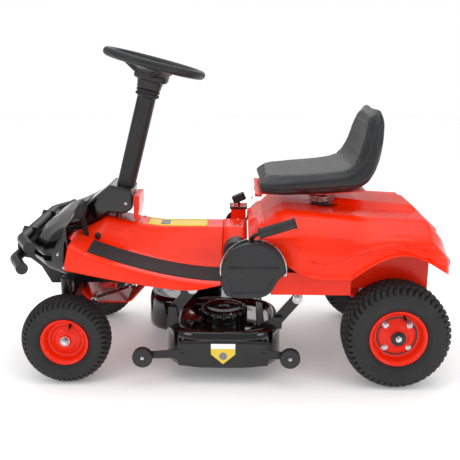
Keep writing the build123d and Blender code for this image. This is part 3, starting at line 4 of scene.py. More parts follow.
import bmesh
import bpy
import numpy as np
from mathutils import Matrix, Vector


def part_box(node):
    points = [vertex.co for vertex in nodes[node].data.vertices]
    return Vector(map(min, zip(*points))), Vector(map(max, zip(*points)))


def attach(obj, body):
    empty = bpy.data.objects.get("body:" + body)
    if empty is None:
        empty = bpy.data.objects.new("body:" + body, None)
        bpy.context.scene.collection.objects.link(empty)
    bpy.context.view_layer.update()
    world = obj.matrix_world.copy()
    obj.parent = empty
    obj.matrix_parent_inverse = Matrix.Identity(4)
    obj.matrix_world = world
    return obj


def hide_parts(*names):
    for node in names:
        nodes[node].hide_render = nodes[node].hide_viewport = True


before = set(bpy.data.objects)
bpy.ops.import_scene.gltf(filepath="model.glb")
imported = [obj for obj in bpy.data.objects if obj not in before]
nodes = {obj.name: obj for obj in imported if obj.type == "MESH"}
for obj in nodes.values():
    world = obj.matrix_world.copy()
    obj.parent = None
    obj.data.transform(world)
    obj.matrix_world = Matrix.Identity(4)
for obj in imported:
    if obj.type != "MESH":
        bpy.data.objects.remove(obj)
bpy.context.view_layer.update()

# --- Front tub -------------------------------------------------------------------------------
# One pressing of 1 mm steel: a centre tunnel, two footboards and turned-down skirts, sprayed with
# gloss vermilion enamel. The sheet is worked out station by station along the machine.
TUB_FRONT, TUB_STEP, TUB_BACK = -488.0, -17.0, 60.0


def linear(code):
    """An sRGB hex colour as linear light with alpha 1."""
    parts = [int(code[i:i + 2], 16) / 255 for i in (1, 3, 5)]
    return tuple(p / 12.92 if p <= 0.04045 else ((p + 0.055) / 1.055) ** 2.4 for p in parts) + (1.0,)


def add(tree, kind, settings=None, links=None):
    """Adds one node: settings are its attributes or input values, links go into its inputs."""
    made = tree.nodes.new(kind)
    for key, value in (settings or {}).items():
        if key == "ramp":
            for place, (position, colour) in enumerate(value):
                stops = made.color_ramp.elements
                element = stops[place] if place < 2 else stops.new(position)
                element.position = position
                element.color = colour
        elif hasattr(made, key):
            setattr(made, key, value)
        else:
            made.inputs[key].default_value = value
    for key, socket in (links or {}).items():
        tree.links.new(socket, made.inputs[key])
    return made


def start_material(name, **sockets):
    """A new material with its shader's own values set, given with its tree, shader and Object coordinates."""
    made = bpy.data.materials.new(name)
    made.use_nodes = True
    tree = made.node_tree
    shader = tree.nodes["Principled BSDF"]
    for key, value in sockets.items():
        shader.inputs[key.replace("_", " ")].default_value = value
    place = add(tree, "ShaderNodeTexCoord").outputs["Object"]
    return made, tree, shader, place


def enamel(name, dark, light, roughness=(0.16, 0.26), coat=0.5):
    """Sprayed enamel: colour drifts over 120 mm, gloss over 60 mm; 1.5 mm orange peel bends highlights."""
    made, tree, shader, place = start_material(name, IOR=1.5, Coat_Weight=coat, Coat_Roughness=0.05,
                                               Specular_IOR_Level=0.28)
    drift = add(tree, "ShaderNodeTexNoise", {"Scale": 8.0, "Detail": 3.0}, {"Vector": place})
    colour = add(tree, "ShaderNodeValToRGB", {"ramp": [(0.3, linear(dark)), (0.7, linear(light))]},
                 {"Fac": drift.outputs["Fac"]})
    haze = add(tree, "ShaderNodeTexNoise", {"Scale": 17.0, "Detail": 4.0}, {"Vector": place})
    gloss = add(tree, "ShaderNodeMapRange", {"From Min": 0.3, "From Max": 0.7, "To Min": roughness[0],
                                             "To Max": roughness[1]}, {"Value": haze.outputs["Fac"]})
    peel = add(tree, "ShaderNodeTexNoise", {"Scale": 650.0, "Detail": 1.0}, {"Vector": place})
    bump = add(tree, "ShaderNodeBump", {"Strength": 0.04, "Distance": 0.0006},
               {"Height": peel.outputs["Fac"]})
    tree.links.new(colour.outputs["Color"], shader.inputs["Base Color"])
    tree.links.new(gloss.outputs["Result"], shader.inputs["Roughness"])
    tree.links.new(bump.outputs["Normal"], shader.inputs["Normal"])
    return made


def soft_line(points, radius, steps=5, straight=3):
    """Rounds a polyline's corners, for any number of lines at once: each corner becomes the quadratic curve
    from a radius before it to a radius after it, and each straight run gets a few points of its own."""
    points = np.asarray(points, float)
    reach = np.broadcast_to(np.asarray(radius, float), (points.shape[-2],))
    runs = np.diff(points, axis=-2)
    length = np.linalg.norm(runs, axis=-1, keepdims=True) + 1e-9
    unit = runs / length
    rows = [points[..., 0, :]]
    t = np.linspace(0, 1, steps)
    for corner in range(1, points.shape[-2] - 1):
        here = points[..., corner, :]
        back = np.minimum(reach[corner], 0.45 * length[..., corner - 1, :])
        on = np.minimum(reach[corner], 0.45 * length[..., corner, :])
        first = here - unit[..., corner - 1, :] * back
        last = here + unit[..., corner, :] * on
        before = rows[-1]
        rows += [before + (first - before) * s for s in np.linspace(0, 1, straight + 2)[1:-1]]
        rows += [first * (1 - s) ** 2 + 2 * s * (1 - s) * here + last * s ** 2 for s in t]
    before, final = rows[-1], points[..., -1, :]
    rows += [before + (final - before) * s for s in np.linspace(0, 1, straight + 2)[1:]]
    return np.stack(rows, axis=-2)


def lattice(rows, columns, around=False, across=False, start=0):
    """Quads between the neighbouring points of a grid, joined end to start where asked."""
    i, j = np.meshgrid(np.arange(rows if around else rows - 1), np.arange(columns if across else columns - 1),
                       indexing="ij")
    k, m = (i + 1) % rows, (j + 1) % columns
    quads = np.stack([i * columns + j, k * columns + j, k * columns + m, i * columns + m], axis=-1)
    return quads.reshape(-1, 4) + start


def surface(name, grids, material, body, stands_for=(), wall=0.0, closed=True, angle=38.0):
    """Joins grids of points in millimetres, each (points, around, across), into one welded mesh in metres.
    A closed form has its faces turned outwards; an open one keeps its grid's facing and may get a wall."""
    points, faces, start = [], [], 0
    for grid, around, across in grids:
        grid = np.asarray(grid, float)
        points.append(grid.reshape(-1, 3) / 1000)
        faces.append(lattice(grid.shape[0], grid.shape[1], around, across, start))
        start += grid.shape[0] * grid.shape[1]
    mesh = bpy.data.meshes.new(name)
    mesh.from_pydata(np.concatenate(points), [], np.concatenate(faces))
    work = bmesh.new()
    work.from_mesh(mesh)
    bmesh.ops.remove_doubles(work, verts=work.verts, dist=2e-6)
    bmesh.ops.dissolve_degenerate(work, edges=work.edges, dist=1e-7)
    if closed:
        bmesh.ops.recalc_face_normals(work, faces=work.faces)
    work.to_mesh(mesh)
    work.free()
    mesh.shade_smooth()
    mesh.set_sharp_from_angle(angle=math.radians(angle))
    mesh.materials.append(material)
    made = bpy.data.objects.new(name, mesh)
    bpy.context.scene.collection.objects.link(made)
    if wall:
        sheet = made.modifiers.new("wall", "SOLIDIFY")
        sheet.thickness = wall / 1000
        sheet.offset = -1
        sheet.use_even_offset = False
    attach(made, body)
    if stands_for:
        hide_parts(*stands_for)
    return made


def both_sides(half):
    """A right-hand half section, from the middle outwards, made into the whole section from left to right."""
    left = half[:, :0:-1] * np.array([-1.0, 1.0])
    return np.concatenate([left, half], axis=1)


def stand_along(stations, sections):
    """Puts (Y, Z) sections at their stations along X: one row of points for each station."""
    x = np.broadcast_to(stations[:, None], sections.shape[:2])
    return np.stack([x, sections[..., 0], sections[..., 1]], axis=-1)


def floor_height(x):
    """Footboard height: a power curve rising towards the front."""
    return 333 + 91 * (np.clip(-26 - x, 0, None) / 405) ** 1.7


def tunnel_height(x):
    """Centre tunnel height: level behind, rising to the dash, falling again under it."""
    rising = 438 + 36 * (np.clip(-210 - x, 0, None) / 190) ** 1.5
    return np.where(x < -400, 474 - 0.55 * (-400 - x), rising)


red_enamel = enamel("vermilion_enamel_on_steel", "#E92300", "#F42D02", (0.2, 0.3), coat=0.12)
x = np.linspace(TUB_FRONT, TUB_STEP, 72)
floor, crown = floor_height(x), tunnel_height(x)
hem = 306 + 61 * (np.clip(-130 - x, 0, None) / 360) ** 1.3 + 22 * (np.clip(x + 110, 0, None) / 93) ** 1.5
half = np.stack([np.stack([np.full_like(x, y), z], -1) for y, z in (
    (0, crown), (60, crown), (150, floor + 2), (300, floor - 6), (316, floor - 9), (320, hem))], axis=1)
half = soft_line(half, [0, 13, 26, 5, 5, 0])
tub = stand_along(x, both_sides(half))
lean = np.clip((-428 - tub[..., 0]) / 60, 0, 1)
tub[..., 0] += lean * np.clip((tub[..., 2] - 367) * 0.22, -4, 16) * (np.abs(tub[..., 1]) > 250)
rear = np.linspace(TUB_STEP, TUB_BACK, 5)
half = np.broadcast_to(np.array([(0, 440), (60, 440), (150, 372), (196, 352), (206, 344), (210, 312)], float),
                       (5, 6, 2))
throat = stand_along(rear, both_sides(soft_line(half, [0, 13, 20, 10, 6, 0])))
surface("front_tub", [(tub, False, False), (throat, False, False)], red_enamel, "chassis", ["front_body"],
        wall=2.5, closed=False)


# --- Tunnel label and footboard mats ---------------------------------------------------------
# A plain yellow film panel on the tunnel, with a grey block and no lettering, and two black
# compression-moulded rubber mats with fine ribs across the foot, bonded to the footboards.
def rubber(name, dark, light, grain_mm, depth_mm, roughness=0.8):
    """Moulded rubber: slightly dusty black with a fine stipple of the given grain."""
    made, tree, shader, place = start_material(name, IOR=1.52, Roughness=roughness)
    dust = add(tree, "ShaderNodeTexNoise", {"Scale": 22.0, "Detail": 5.0, "Roughness": 0.6},
               {"Vector": place})
    colour = add(tree, "ShaderNodeValToRGB", {"ramp": [(0.35, linear(dark)), (0.75, linear(light))]},
                 {"Fac": dust.outputs["Fac"]})
    stipple = add(tree, "ShaderNodeTexVoronoi", {"Scale": 1000 / grain_mm}, {"Vector": place})
    bump = add(tree, "ShaderNodeBump", {"Strength": 0.35, "Distance": depth_mm / 1000},
               {"Height": stipple.outputs["Distance"]})
    tree.links.new(colour.outputs["Color"], shader.inputs["Base Color"])
    tree.links.new(bump.outputs["Normal"], shader.inputs["Normal"])
    return made


def film(name, code):
    """Printed vinyl film: even colour with a very slight print mottle under a satin face."""
    made, tree, shader, place = start_material(name, IOR=1.46, Roughness=0.32)
    mottle = add(tree, "ShaderNodeTexNoise", {"Scale": 140.0, "Detail": 2.0}, {"Vector": place})
    base = linear(code)
    pale = tuple(min(1.0, c * 1.12) for c in base[:3]) + (1.0,)
    colour = add(tree, "ShaderNodeValToRGB", {"ramp": [(0.3, base), (0.8, pale)]},
                 {"Fac": mottle.outputs["Fac"]})
    tree.links.new(colour.outputs["Color"], shader.inputs["Base Color"])
    return made


yellow_film = film("yellow_vinyl_film", "#DDBE3C")
grey_film = film("grey_vinyl_film", "#77777A")
for name, start, end, lift, width, material in (("tunnel_label", -270, -70, 0.7, 50, yellow_film),
                                                ("tunnel_label_block", -226, -196, 1.0, 30, grey_film)):
    along, across = np.meshgrid(np.linspace(start, end, 24), np.linspace(-width, width, 5), indexing="ij")
    label = np.stack([along, across, tunnel_height(along) + lift], axis=-1)
    surface(name, [(label, False, False)], material, "chassis", closed=False, wall=0.3)

mat_rubber = rubber("moulded_mat_rubber", "#1C191B", "#2B272A", 1.2, 0.35, 0.7)
for side in (-1, 1):
    along, across = np.meshgrid(np.linspace(-421, -14, 272), np.linspace(0, 1, 26), indexing="ij")
    y = 172 + 118 * across
    bed = floor_height(along) + 2 - 8 * (y - 150) / 150
    rib = 0.5 + 0.5 * np.cos(2 * math.pi * (along + 0.25 * y) / 6.0)
    edge = np.clip(np.minimum(across, 1 - across) * 30, 0, 1)
    top = np.stack([along, side * y, bed + 0.3 + edge * (2.0 + 0.6 * rib)], axis=-1)
    facing_up = top if side > 0 else top[:, ::-1]
    surface(f"foot_mat_{'left' if side < 0 else 'right'}", [(facing_up, False, False)], mat_rubber, "chassis",
            ["foot_pads"], wall=2.0, closed=False)


# --- Rear body -------------------------------------------------------------------------------
# The second red pressing: seat riser, raised hood and flared fenders with two swept creases along
# each side. The edge arches over the rear wheel and its lip is rolled outwards.
def step(value, low, high):
    """Smooth step from 0 at low to 1 at high."""
    t = np.clip((value - low) / (high - low), 0, 1)
    return t * t * (3 - 2 * t)


def crest_height(x):
    """Fender crest: a quarter sine up from the riser, a long gentle fall, then the steep tail."""
    front = 481 + 44 * np.sin(np.radians(90 * np.clip((x - 108) / 78, 0, 1)))
    middle = 525 - 21 * (x - 186) / 416
    return np.where(x < 186, front, np.minimum(middle, 504 - 1.1 * (x - 602)))


def hood_height(x):
    """Raised hood: just above the crest in front, stepping up 15 mm behind the seat springs."""
    raised = np.where(x < 590, 544 - 0.09 * (x - 340), 521.5 - 0.95 * (x - 590))
    return np.where(x < 320, crest_height(x) + 3, crest_height(x) + 3 + (raised - crest_height(x) - 3)
                    * step(x, 320, 346))


def lip_height(x):
    """Fender edge: a half cosine arch over the wheel, lifted again towards the riser."""
    arch = 76 * np.cos(np.radians(90 * np.clip(np.abs(x - 518) / 155, 0, 1)))
    return 345 + arch + 37 * (np.clip(272 - x, 0, None) / 101) ** 2


x = np.concatenate([np.linspace(62, 108, 14)[:-1], np.linspace(108, 600, 112)[:-1],
                    600 + 68 * np.sin(np.linspace(0, math.pi / 2, 24))])
half_width = 331 - 52 * (np.clip(320 - x, 0, None) / 190) ** 1.5 \
    - 69 * (1 - np.sqrt(1 - (np.clip(x - 600, 0, 68) / 68) ** 2))
crest, hood, lip = crest_height(x), hood_height(x), lip_height(x)
half = np.stack([np.stack([y + 0 * x, z], -1) for y, z in (
    (0, hood), (88, hood), (108, crest + 2), (half_width - 100, crest), (half_width - 42, crest - 34),
    (half_width - 8, (crest + lip) / 2 + 4), (half_width, lip))], axis=1)
riser = np.array([(0, 470), (85, 470), (110, 447), (190, 432), (228, 412), (234, 400), (236, 388)], float)
rise = np.clip((x - 62) / 46, 0, 1)[:, None, None]
lift = np.sin(np.radians(90 * rise))
first = half[np.searchsorted(x, 108)]
growth = first - riser
front_half = np.concatenate([riser[None, :, :1] + growth[None, :, :1] * rise,
                             riser[None, :, 1:] + growth[None, :, 1:] * lift], axis=-1)
half = np.where(rise < 1, front_half, half)
line = soft_line(half, [0, 9, 9, 20, 26, 16, 0], steps=5, straight=18)
slope = np.gradient(line, axis=1)
slope /= np.linalg.norm(slope, axis=-1, keepdims=True) + 1e-9
outward = np.stack([-slope[..., 1], slope[..., 0]], axis=-1)
along = np.broadcast_to(x[:, None], line.shape[:2])
UPPER_CREASE = [(200, 420), (247, 396), (289, 391), (338, 405), (386, 428), (434, 449), (483, 454),
                (532, 451), (582, 438), (640, 412)]
LOWER_CREASE = [(200, 408), (238, 398), (268, 383), (307, 376), (346, 389), (384, 417), (422, 433),
                (481, 440), (530, 432), (588, 414), (640, 396)]
upper = np.interp(along, *np.transpose(UPPER_CREASE))
lower = np.interp(along, *np.transpose(LOWER_CREASE))
height = line[..., 1]
band = step(height, lower - 2, lower + 2) * (1 - step(height, upper - 2, upper + 2))
below = 1 - step(height, lower - 2, lower + 2)
fade = step(along, 205, 270) * (1 - step(along, 630, 655)) * (line[..., 0] > 150)
roll = step(height, lip[:, None] + 12, lip[:, None])
line = line - outward * (fade * (7.5 * band + 12.5 * below) * (1 - roll))[..., None]
rear_shell = stand_along(x, both_sides(line))
TAIL_FOOT = 346.0
tail = rear_shell[-1]
turned_under = tail * (1, 0.985, 1) + (3, 0, -3)
tail_wall = np.stack([tail[:, 0] + 3, tail[:, 1] * 0.97,
                      np.minimum(tail[:, 2] - 3, np.maximum(TAIL_FOOT, tail[:, 2] - 40))], -1)
tail_edge = np.stack([tail[:, 0] + 1, tail[:, 1] * 0.97, np.full(len(tail), TAIL_FOOT)], -1)
closed_shell = np.concatenate([rear_shell, [turned_under, tail_wall, tail_edge]])
surface("rear_shell", [(closed_shell, False, False)], red_enamel, "chassis", ["rear_body"],
        wall=2.5, closed=False, angle=50)
for name in ("rear_inner_panels", "console_support", "gear_console", "seat_pan", "steering_guard"):
    nodes[name].data.materials.clear()
    nodes[name].data.materials.append(red_enamel)


# --- Nose cowl and dash console --------------------------------------------------------------
# Injection-moulded ABS with a polished tool finish: a faceted nose open at the back, and the console
# that boxes in the steering column. Both are screwed to the tub.
def moulding(name, dark, light, rough_low, rough_high, grain_mm=0.0, coat=0.0):
    """Moulded ABS: near-black with faint flow marks, polished where the grain is 0, else spark-eroded."""
    made, tree, shader, place = start_material(name, IOR=1.52, Coat_Weight=coat, Coat_Roughness=0.08)
    flow = add(tree, "ShaderNodeTexNoise", {"Scale": 11.0, "Detail": 4.0}, {"Vector": place})
    colour = add(tree, "ShaderNodeValToRGB", {"ramp": [(0.3, linear(dark)), (0.75, linear(light))]},
                 {"Fac": flow.outputs["Fac"]})
    gloss = add(tree, "ShaderNodeMapRange", {"From Min": 0.3, "From Max": 0.7, "To Min": rough_low,
                                             "To Max": rough_high}, {"Value": flow.outputs["Fac"]})
    fine = add(tree, "ShaderNodeTexNoise", {"Scale": 1000 / grain_mm if grain_mm else 260.0, "Detail": 3.0},
               {"Vector": place})
    bump = add(tree, "ShaderNodeBump", {"Strength": 0.3 if grain_mm else 0.03, "Distance": 0.0004},
               {"Height": fine.outputs["Fac"]})
    tree.links.new(colour.outputs["Color"], shader.inputs["Base Color"])
    tree.links.new(gloss.outputs["Result"], shader.inputs["Roughness"])
    tree.links.new(bump.outputs["Normal"], shader.inputs["Normal"])
    return made


gloss_abs = moulding("polished_black_abs", "#060607", "#0C0C0E", 0.1, 0.18, coat=0.2)
satin_abs = moulding("textured_charcoal_abs", "#17181A", "#202124", 0.42, 0.52, grain_mm=0.9)

y = np.concatenate([[-285, -285], np.linspace(-284, 284, 96), [285, 285]])
plan = np.interp(np.abs(y), [0, 100, 190, 262, 280, 285], [-628, -628, -612, -560, -520, -505])
shrink = ((plan + 480) / (-628 + 480))[:, None]
sink = step(np.abs(y), 60, 285)[:, None]
nose = np.array([(-480, 508), (-540, 488), (-583, 462), (-612, 432), (-629, 407), (-621, 401), (-624, 376),
                 (-600, 358), (-530, 343)], float)
profile = np.broadcast_to(nose, (len(y), len(nose), 2)).copy()
profile[..., 0] = -480 + (profile[..., 0] + 480) * shrink
profile[..., 1] -= sink * (profile[..., 1] - 343) * 0.08
profile = soft_line(profile, [0, 12, 14, 12, 5, 4, 10, 14, 0], steps=5, straight=2)
cowl = np.stack([profile[..., 0], np.broadcast_to(y[:, None], profile.shape[:2]), profile[..., 1]], axis=-1)
cowl[[0, -1], :, 0] = -482
surface("nose_cowl", [(cowl, False, False)], gloss_abs, "chassis", ["front_cowl"], wall=3.0,
        closed=False, angle=30)


def plate(name, outline, y_from, y_to, edge, material, body, stands_for=(), segments=3):
    """A plate or box: a straight X-Z outline carried from one Y to another, with its edges bevelled round."""
    outline = np.asarray(outline, float)
    count = len(outline)
    ring = np.arange(count)
    points = np.concatenate([np.stack([outline[:, 0], np.full(count, y), outline[:, 1]], -1)
                             for y in (y_from, y_to)])
    sides = np.stack([ring, (ring + 1) % count, (ring + 1) % count + count, ring + count], -1).tolist()
    mesh = bpy.data.meshes.new(name)
    mesh.from_pydata(points / 1000, [], sides + [ring.tolist(), (ring[::-1] + count).tolist()])
    work = bmesh.new()
    work.from_mesh(mesh)
    bmesh.ops.recalc_face_normals(work, faces=work.faces)
    work.to_mesh(mesh)
    work.free()
    mesh.shade_smooth()
    mesh.set_sharp_from_angle(angle=math.radians(38))
    mesh.materials.append(material)
    made = bpy.data.objects.new(name, mesh)
    bpy.context.scene.collection.objects.link(made)
    rounding = made.modifiers.new("edge", "BEVEL")
    rounding.width = edge / 1000
    rounding.segments = segments
    rounding.limit_method = "ANGLE"
    rounding.angle_limit = math.radians(20)
    rounding.harden_normals = True
    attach(made, body)
    if stands_for:
        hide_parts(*stands_for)
    return made


for side, hand, inner in ((-1, "left", 152), (1, "right", 214)):
    arch = [(24 + 40 * math.cos(a), 388 + 44 * math.sin(a)) for a in np.radians(np.linspace(0, 180, 17))]
    plate(f"side_pocket_{hand}", arch + [(-16, 352), (64, 352)], side * inner, side * 221, 2.5, satin_abs,
          "chassis", ["side_vents"] if side < 0 else ())
plate("dash_box", [(-385, 578), (-314, 562), (-314, 498), (-340, 482), (-392, 486), (-462, 442), (-480, 470),
                   (-464, 515)], -75, 75, 7, gloss_abs, "chassis", ["dash_console"])


# --- Steering column and wheel ---------------------------------------------------------------
# A charcoal moulded sleeve with a three-ring collar, and a one-piece moulded wheel: oval-section rim,
# three dished spokes and a deep faceted hub, on a zinc-plated shaft.
LEAN = math.radians(14.5)
UP = np.array([math.sin(LEAN), 0, math.cos(LEAN)])
BACK = np.array([math.cos(LEAN), 0, -math.sin(LEAN)])
LEFT = np.array([0.0, 1.0, 0.0])
WHEEL_HUB = np.array([-240.0, 0, 960.0])


def turned(profile, foot, axis, around=64, ripple=None):
    """A profile of (radius, distance) turned about an axis through foot. A ripple function of (angle, radius,
    distance) may scale the radius. Radius 0 closes an end."""
    axis = np.asarray(axis, float) / np.linalg.norm(axis)
    across = np.cross(axis, [0.0, 1.0, 0.0] if abs(axis[1]) < 0.9 else [1.0, 0.0, 0.0])
    across /= np.linalg.norm(across)
    other = np.cross(axis, across)
    profile = np.asarray(profile, float)
    angle = np.linspace(0, 2 * math.pi, around, endpoint=False)[:, None]
    radius = np.broadcast_to(profile[None, :, 0], (around, len(profile)))
    if ripple is not None:
        radius = radius * ripple(angle, radius, profile[None, :, 1])
    ring = np.cos(angle)[..., None] * across + np.sin(angle)[..., None] * other
    return np.asarray(foot, float) + radius[..., None] * ring + profile[None, :, 1, None] * axis, True, False


def carried(path, radius, around=16, flat=1.0):
    """A round bar of one radius, or one for each point, carried along a path of points; both ends closed."""
    path = np.asarray(path, float)
    radius = np.broadcast_to(np.asarray(radius, float), (len(path),))
    heading = np.gradient(path, axis=0)
    heading /= np.linalg.norm(heading, axis=1, keepdims=True)
    guide = np.array([0.0, 0.0, 1.0]) if abs(heading[:, 2]).max() < 0.9 else np.array([0.0, 1.0, 0.0])
    side = np.cross(heading, guide)
    side /= np.linalg.norm(side, axis=1, keepdims=True)
    top = np.cross(side, heading)
    angle = np.linspace(0, 2 * math.pi, around, endpoint=False)
    ring = (np.cos(angle)[None, :, None] * side[:, None] + flat * np.sin(angle)[None, :, None] * top[:, None])
    grid = path[:, None] + radius[:, None, None] * ring
    ends = [np.broadcast_to(path[k], (1, around, 3)) for k in (0, -1)]
    return np.concatenate([ends[0], grid, ends[1]]), False, True


sleeve = [(26, -470), (30, -468), (30, -112), (33, -108), (38.5, -106), (38.5, -99), (35, -97.5), (35, -93.5),
          (38.5, -92), (38.5, -88), (36, -86), (9.6, -86), (9.6, -110), (27, -110), (27, -466), (26, -470)]
surface("column_sleeve", [turned(sleeve, WHEEL_HUB, UP, 72)], satin_abs, "chassis", ["steering_column"],
        angle=30)

turn = np.linspace(0, 2 * math.pi, 144, endpoint=False)[:, None]
tube = np.linspace(0, 2 * math.pi, 24, endpoint=False)[None, :]
reach = 152.5 + 13.5 * np.cos(tube) + 0 * turn
rise = 13.5 * np.sin(tube) + 0 * turn
spread = np.cos(turn)[..., None] * BACK + np.sin(turn)[..., None] * LEFT
rim = WHEEL_HUB + reach[..., None] * spread + rise[..., None] * UP
parts = [(rim, True, True)]
for angle in (math.pi / 3, math.pi, 5 * math.pi / 3):
    out = math.cos(angle) * BACK + math.sin(angle) * LEFT
    across = np.cross(UP, out)
    along = np.linspace(0, 1, 14)[:, None]
    corner = np.linspace(0, 2 * math.pi, 28, endpoint=False)[None, :]
    wide = 26 - 9 * step(along, 0, 1) + 4 * step(along, 0.8, 1)
    thick = 11 - 5 * step(along, 0, 0.8)
    shape_y = np.sign(np.cos(corner)) * np.abs(np.cos(corner)) ** 0.45 * wide
    shape_z = np.sign(np.sin(corner)) * np.abs(np.sin(corner)) ** 0.45 * thick
    centre = 22 + 126 * along
    dish = -34 * (1 - step(along, 0.05, 0.85)) - 3
    spoke = WHEEL_HUB + (centre + 0 * corner)[..., None] * out + shape_y[..., None] * across \
        + (shape_z + dish)[..., None] * UP
    mid = [np.broadcast_to(spoke[k].mean(axis=0), (1,) + spoke[k].shape) for k in (0, -1)]
    parts.append((np.concatenate([mid[0], spoke, mid[1]]), False, True))
levels = np.array([(0.01, -86), (34, -86), (37, -83), (40, -64), (42, -58), (52, -54), (55, -48), (55, -30),
                   (50, -24), (36, -21), (0.01, -19)], float)
corner = np.linspace(0, 2 * math.pi, 64, endpoint=False)[:, None]
square = 1 / (np.abs(np.cos(corner)) ** 3.4 + np.abs(np.sin(corner)) ** 3.4) ** (1 / 3.4)
size = levels[None, :, 0] * square
hub = WHEEL_HUB + (size * np.cos(corner))[..., None] * BACK \
    + (size * np.sin(corner))[..., None] * LEFT * 0.9 + (levels[None, :, 1] + 0 * corner)[..., None] * UP
parts.append((hub, True, False))
parts.append(turned([(0.01, -8), (20, -9), (25, -13), (26, -24), (0.01, -24)], WHEEL_HUB, UP, 48))
surface("wheel_moulding", parts, satin_abs, "steering", ["steering_wheel"], angle=32)


# --- Bumper and frame ------------------------------------------------------------------------
# Welded steel tube and plate, powder coated satin black; fasteners and rods are zinc plated.
def coated(name, dark, light, roughness):
    """Powder coat: 2 mm soft texture, thin dust in broad patches."""
    made, tree, shader, place = start_material(name, IOR=1.5)
    dust = add(tree, "ShaderNodeTexNoise", {"Scale": 14.0, "Detail": 5.0}, {"Vector": place})
    colour = add(tree, "ShaderNodeValToRGB", {"ramp": [(0.35, linear(dark)), (0.8, linear(light))]},
                 {"Fac": dust.outputs["Fac"]})
    gloss = add(tree, "ShaderNodeMapRange", {"To Min": roughness - 0.06, "To Max": roughness + 0.08},
                {"Value": dust.outputs["Fac"]})
    orange = add(tree, "ShaderNodeTexNoise", {"Scale": 500.0, "Detail": 2.0}, {"Vector": place})
    bump = add(tree, "ShaderNodeBump", {"Strength": 0.12, "Distance": 0.0005},
               {"Height": orange.outputs["Fac"]})
    tree.links.new(colour.outputs["Color"], shader.inputs["Base Color"])
    tree.links.new(gloss.outputs["Result"], shader.inputs["Roughness"])
    tree.links.new(bump.outputs["Normal"], shader.inputs["Normal"])
    return made


def metal(name, dark, light, rough_low, rough_high, grain_mm, depth_mm):
    """Bare or plated metal: mottled tint and gloss, with a fine grain of the given size."""
    made, tree, shader, place = start_material(name, Metallic=1.0)
    mottle = add(tree, "ShaderNodeTexNoise", {"Scale": 45.0, "Detail": 4.0}, {"Vector": place})
    colour = add(tree, "ShaderNodeValToRGB", {"ramp": [(0.3, linear(dark)), (0.7, linear(light))]},
                 {"Fac": mottle.outputs["Fac"]})
    gloss = add(tree, "ShaderNodeMapRange", {"To Min": rough_low, "To Max": rough_high},
                {"Value": mottle.outputs["Fac"]})
    grain = add(tree, "ShaderNodeTexNoise", {"Scale": 1000 / grain_mm, "Detail": 3.0}, {"Vector": place})
    bump = add(tree, "ShaderNodeBump", {"Strength": 0.3, "Distance": depth_mm / 1000},
               {"Height": grain.outputs["Fac"]})
    tree.links.new(colour.outputs["Color"], shader.inputs["Base Color"])
    tree.links.new(gloss.outputs["Result"], shader.inputs["Roughness"])
    tree.links.new(bump.outputs["Normal"], shader.inputs["Normal"])
    return made


powder_black = coated("powder_coated_steel", "#101012", "#1B1B1E", 0.32)
zinc = metal("bright_zinc_plate", "#B4B5B8", "#DADBDD", 0.18, 0.34, 0.8, 0.05)
cast_alloy = metal("cast_alloy", "#7D7F82", "#A2A4A6", 0.45, 0.6, 1.4, 0.3)
spring_wire = metal("bright_spring_steel", "#C4C5C8", "#E2E3E5", 0.08, 0.2, 0.6, 0.02)
CARRIED = {
    powder_black: ("main_frame", "bumper_tubes", "bumper_brackets", "axle_beam", "knuckle_left",
                   "knuckle_right", "lift_lever", "front_links", "rear_links", "pedal_bracket"),
    zinc: ("steering_shaft", "tie_rods", "engine_pulley", "transaxle_pulley",
           "seat_hinge", "lever_quadrant", "lift_rod", "blade_left", "blade_right"),
    cast_alloy: ("engine_block", "transaxle"),
    spring_wire: ("seat_springs",),
    satin_abs: ("engine_cover", "fuel_tank", "discharge_chute", "deck_wheel_front", "deck_wheel_rear",
                "parking_brake", "gear_lever"),
}
for material, names in CARRIED.items():
    for name in names:
        nodes[name].data.materials.clear()
        nodes[name].data.materials.append(material)
belt_rubber = rubber("moulded_belt_rubber", "#161617", "#242425", 0.8, 0.1, 0.6)
nodes["drive_belt"].data.materials.clear()
nodes["drive_belt"].data.materials.append(belt_rubber)
lens, tree, shader, place = start_material("dark_red_acrylic", Roughness=0.12, IOR=1.49, Coat_Weight=0.4)
prisms = add(tree, "ShaderNodeTexVoronoi", {"Scale": 260.0}, {"Vector": place})
tint = add(tree, "ShaderNodeValToRGB", {"ramp": [(0.0, linear("#3A0608")), (1.0, linear("#14080A"))]},
           {"Fac": prisms.outputs["Distance"]})
tree.links.new(tint.outputs["Color"], shader.inputs["Base Color"])
nodes["tail_lights"].data.materials.clear()
nodes["tail_lights"].data.materials.append(lens)


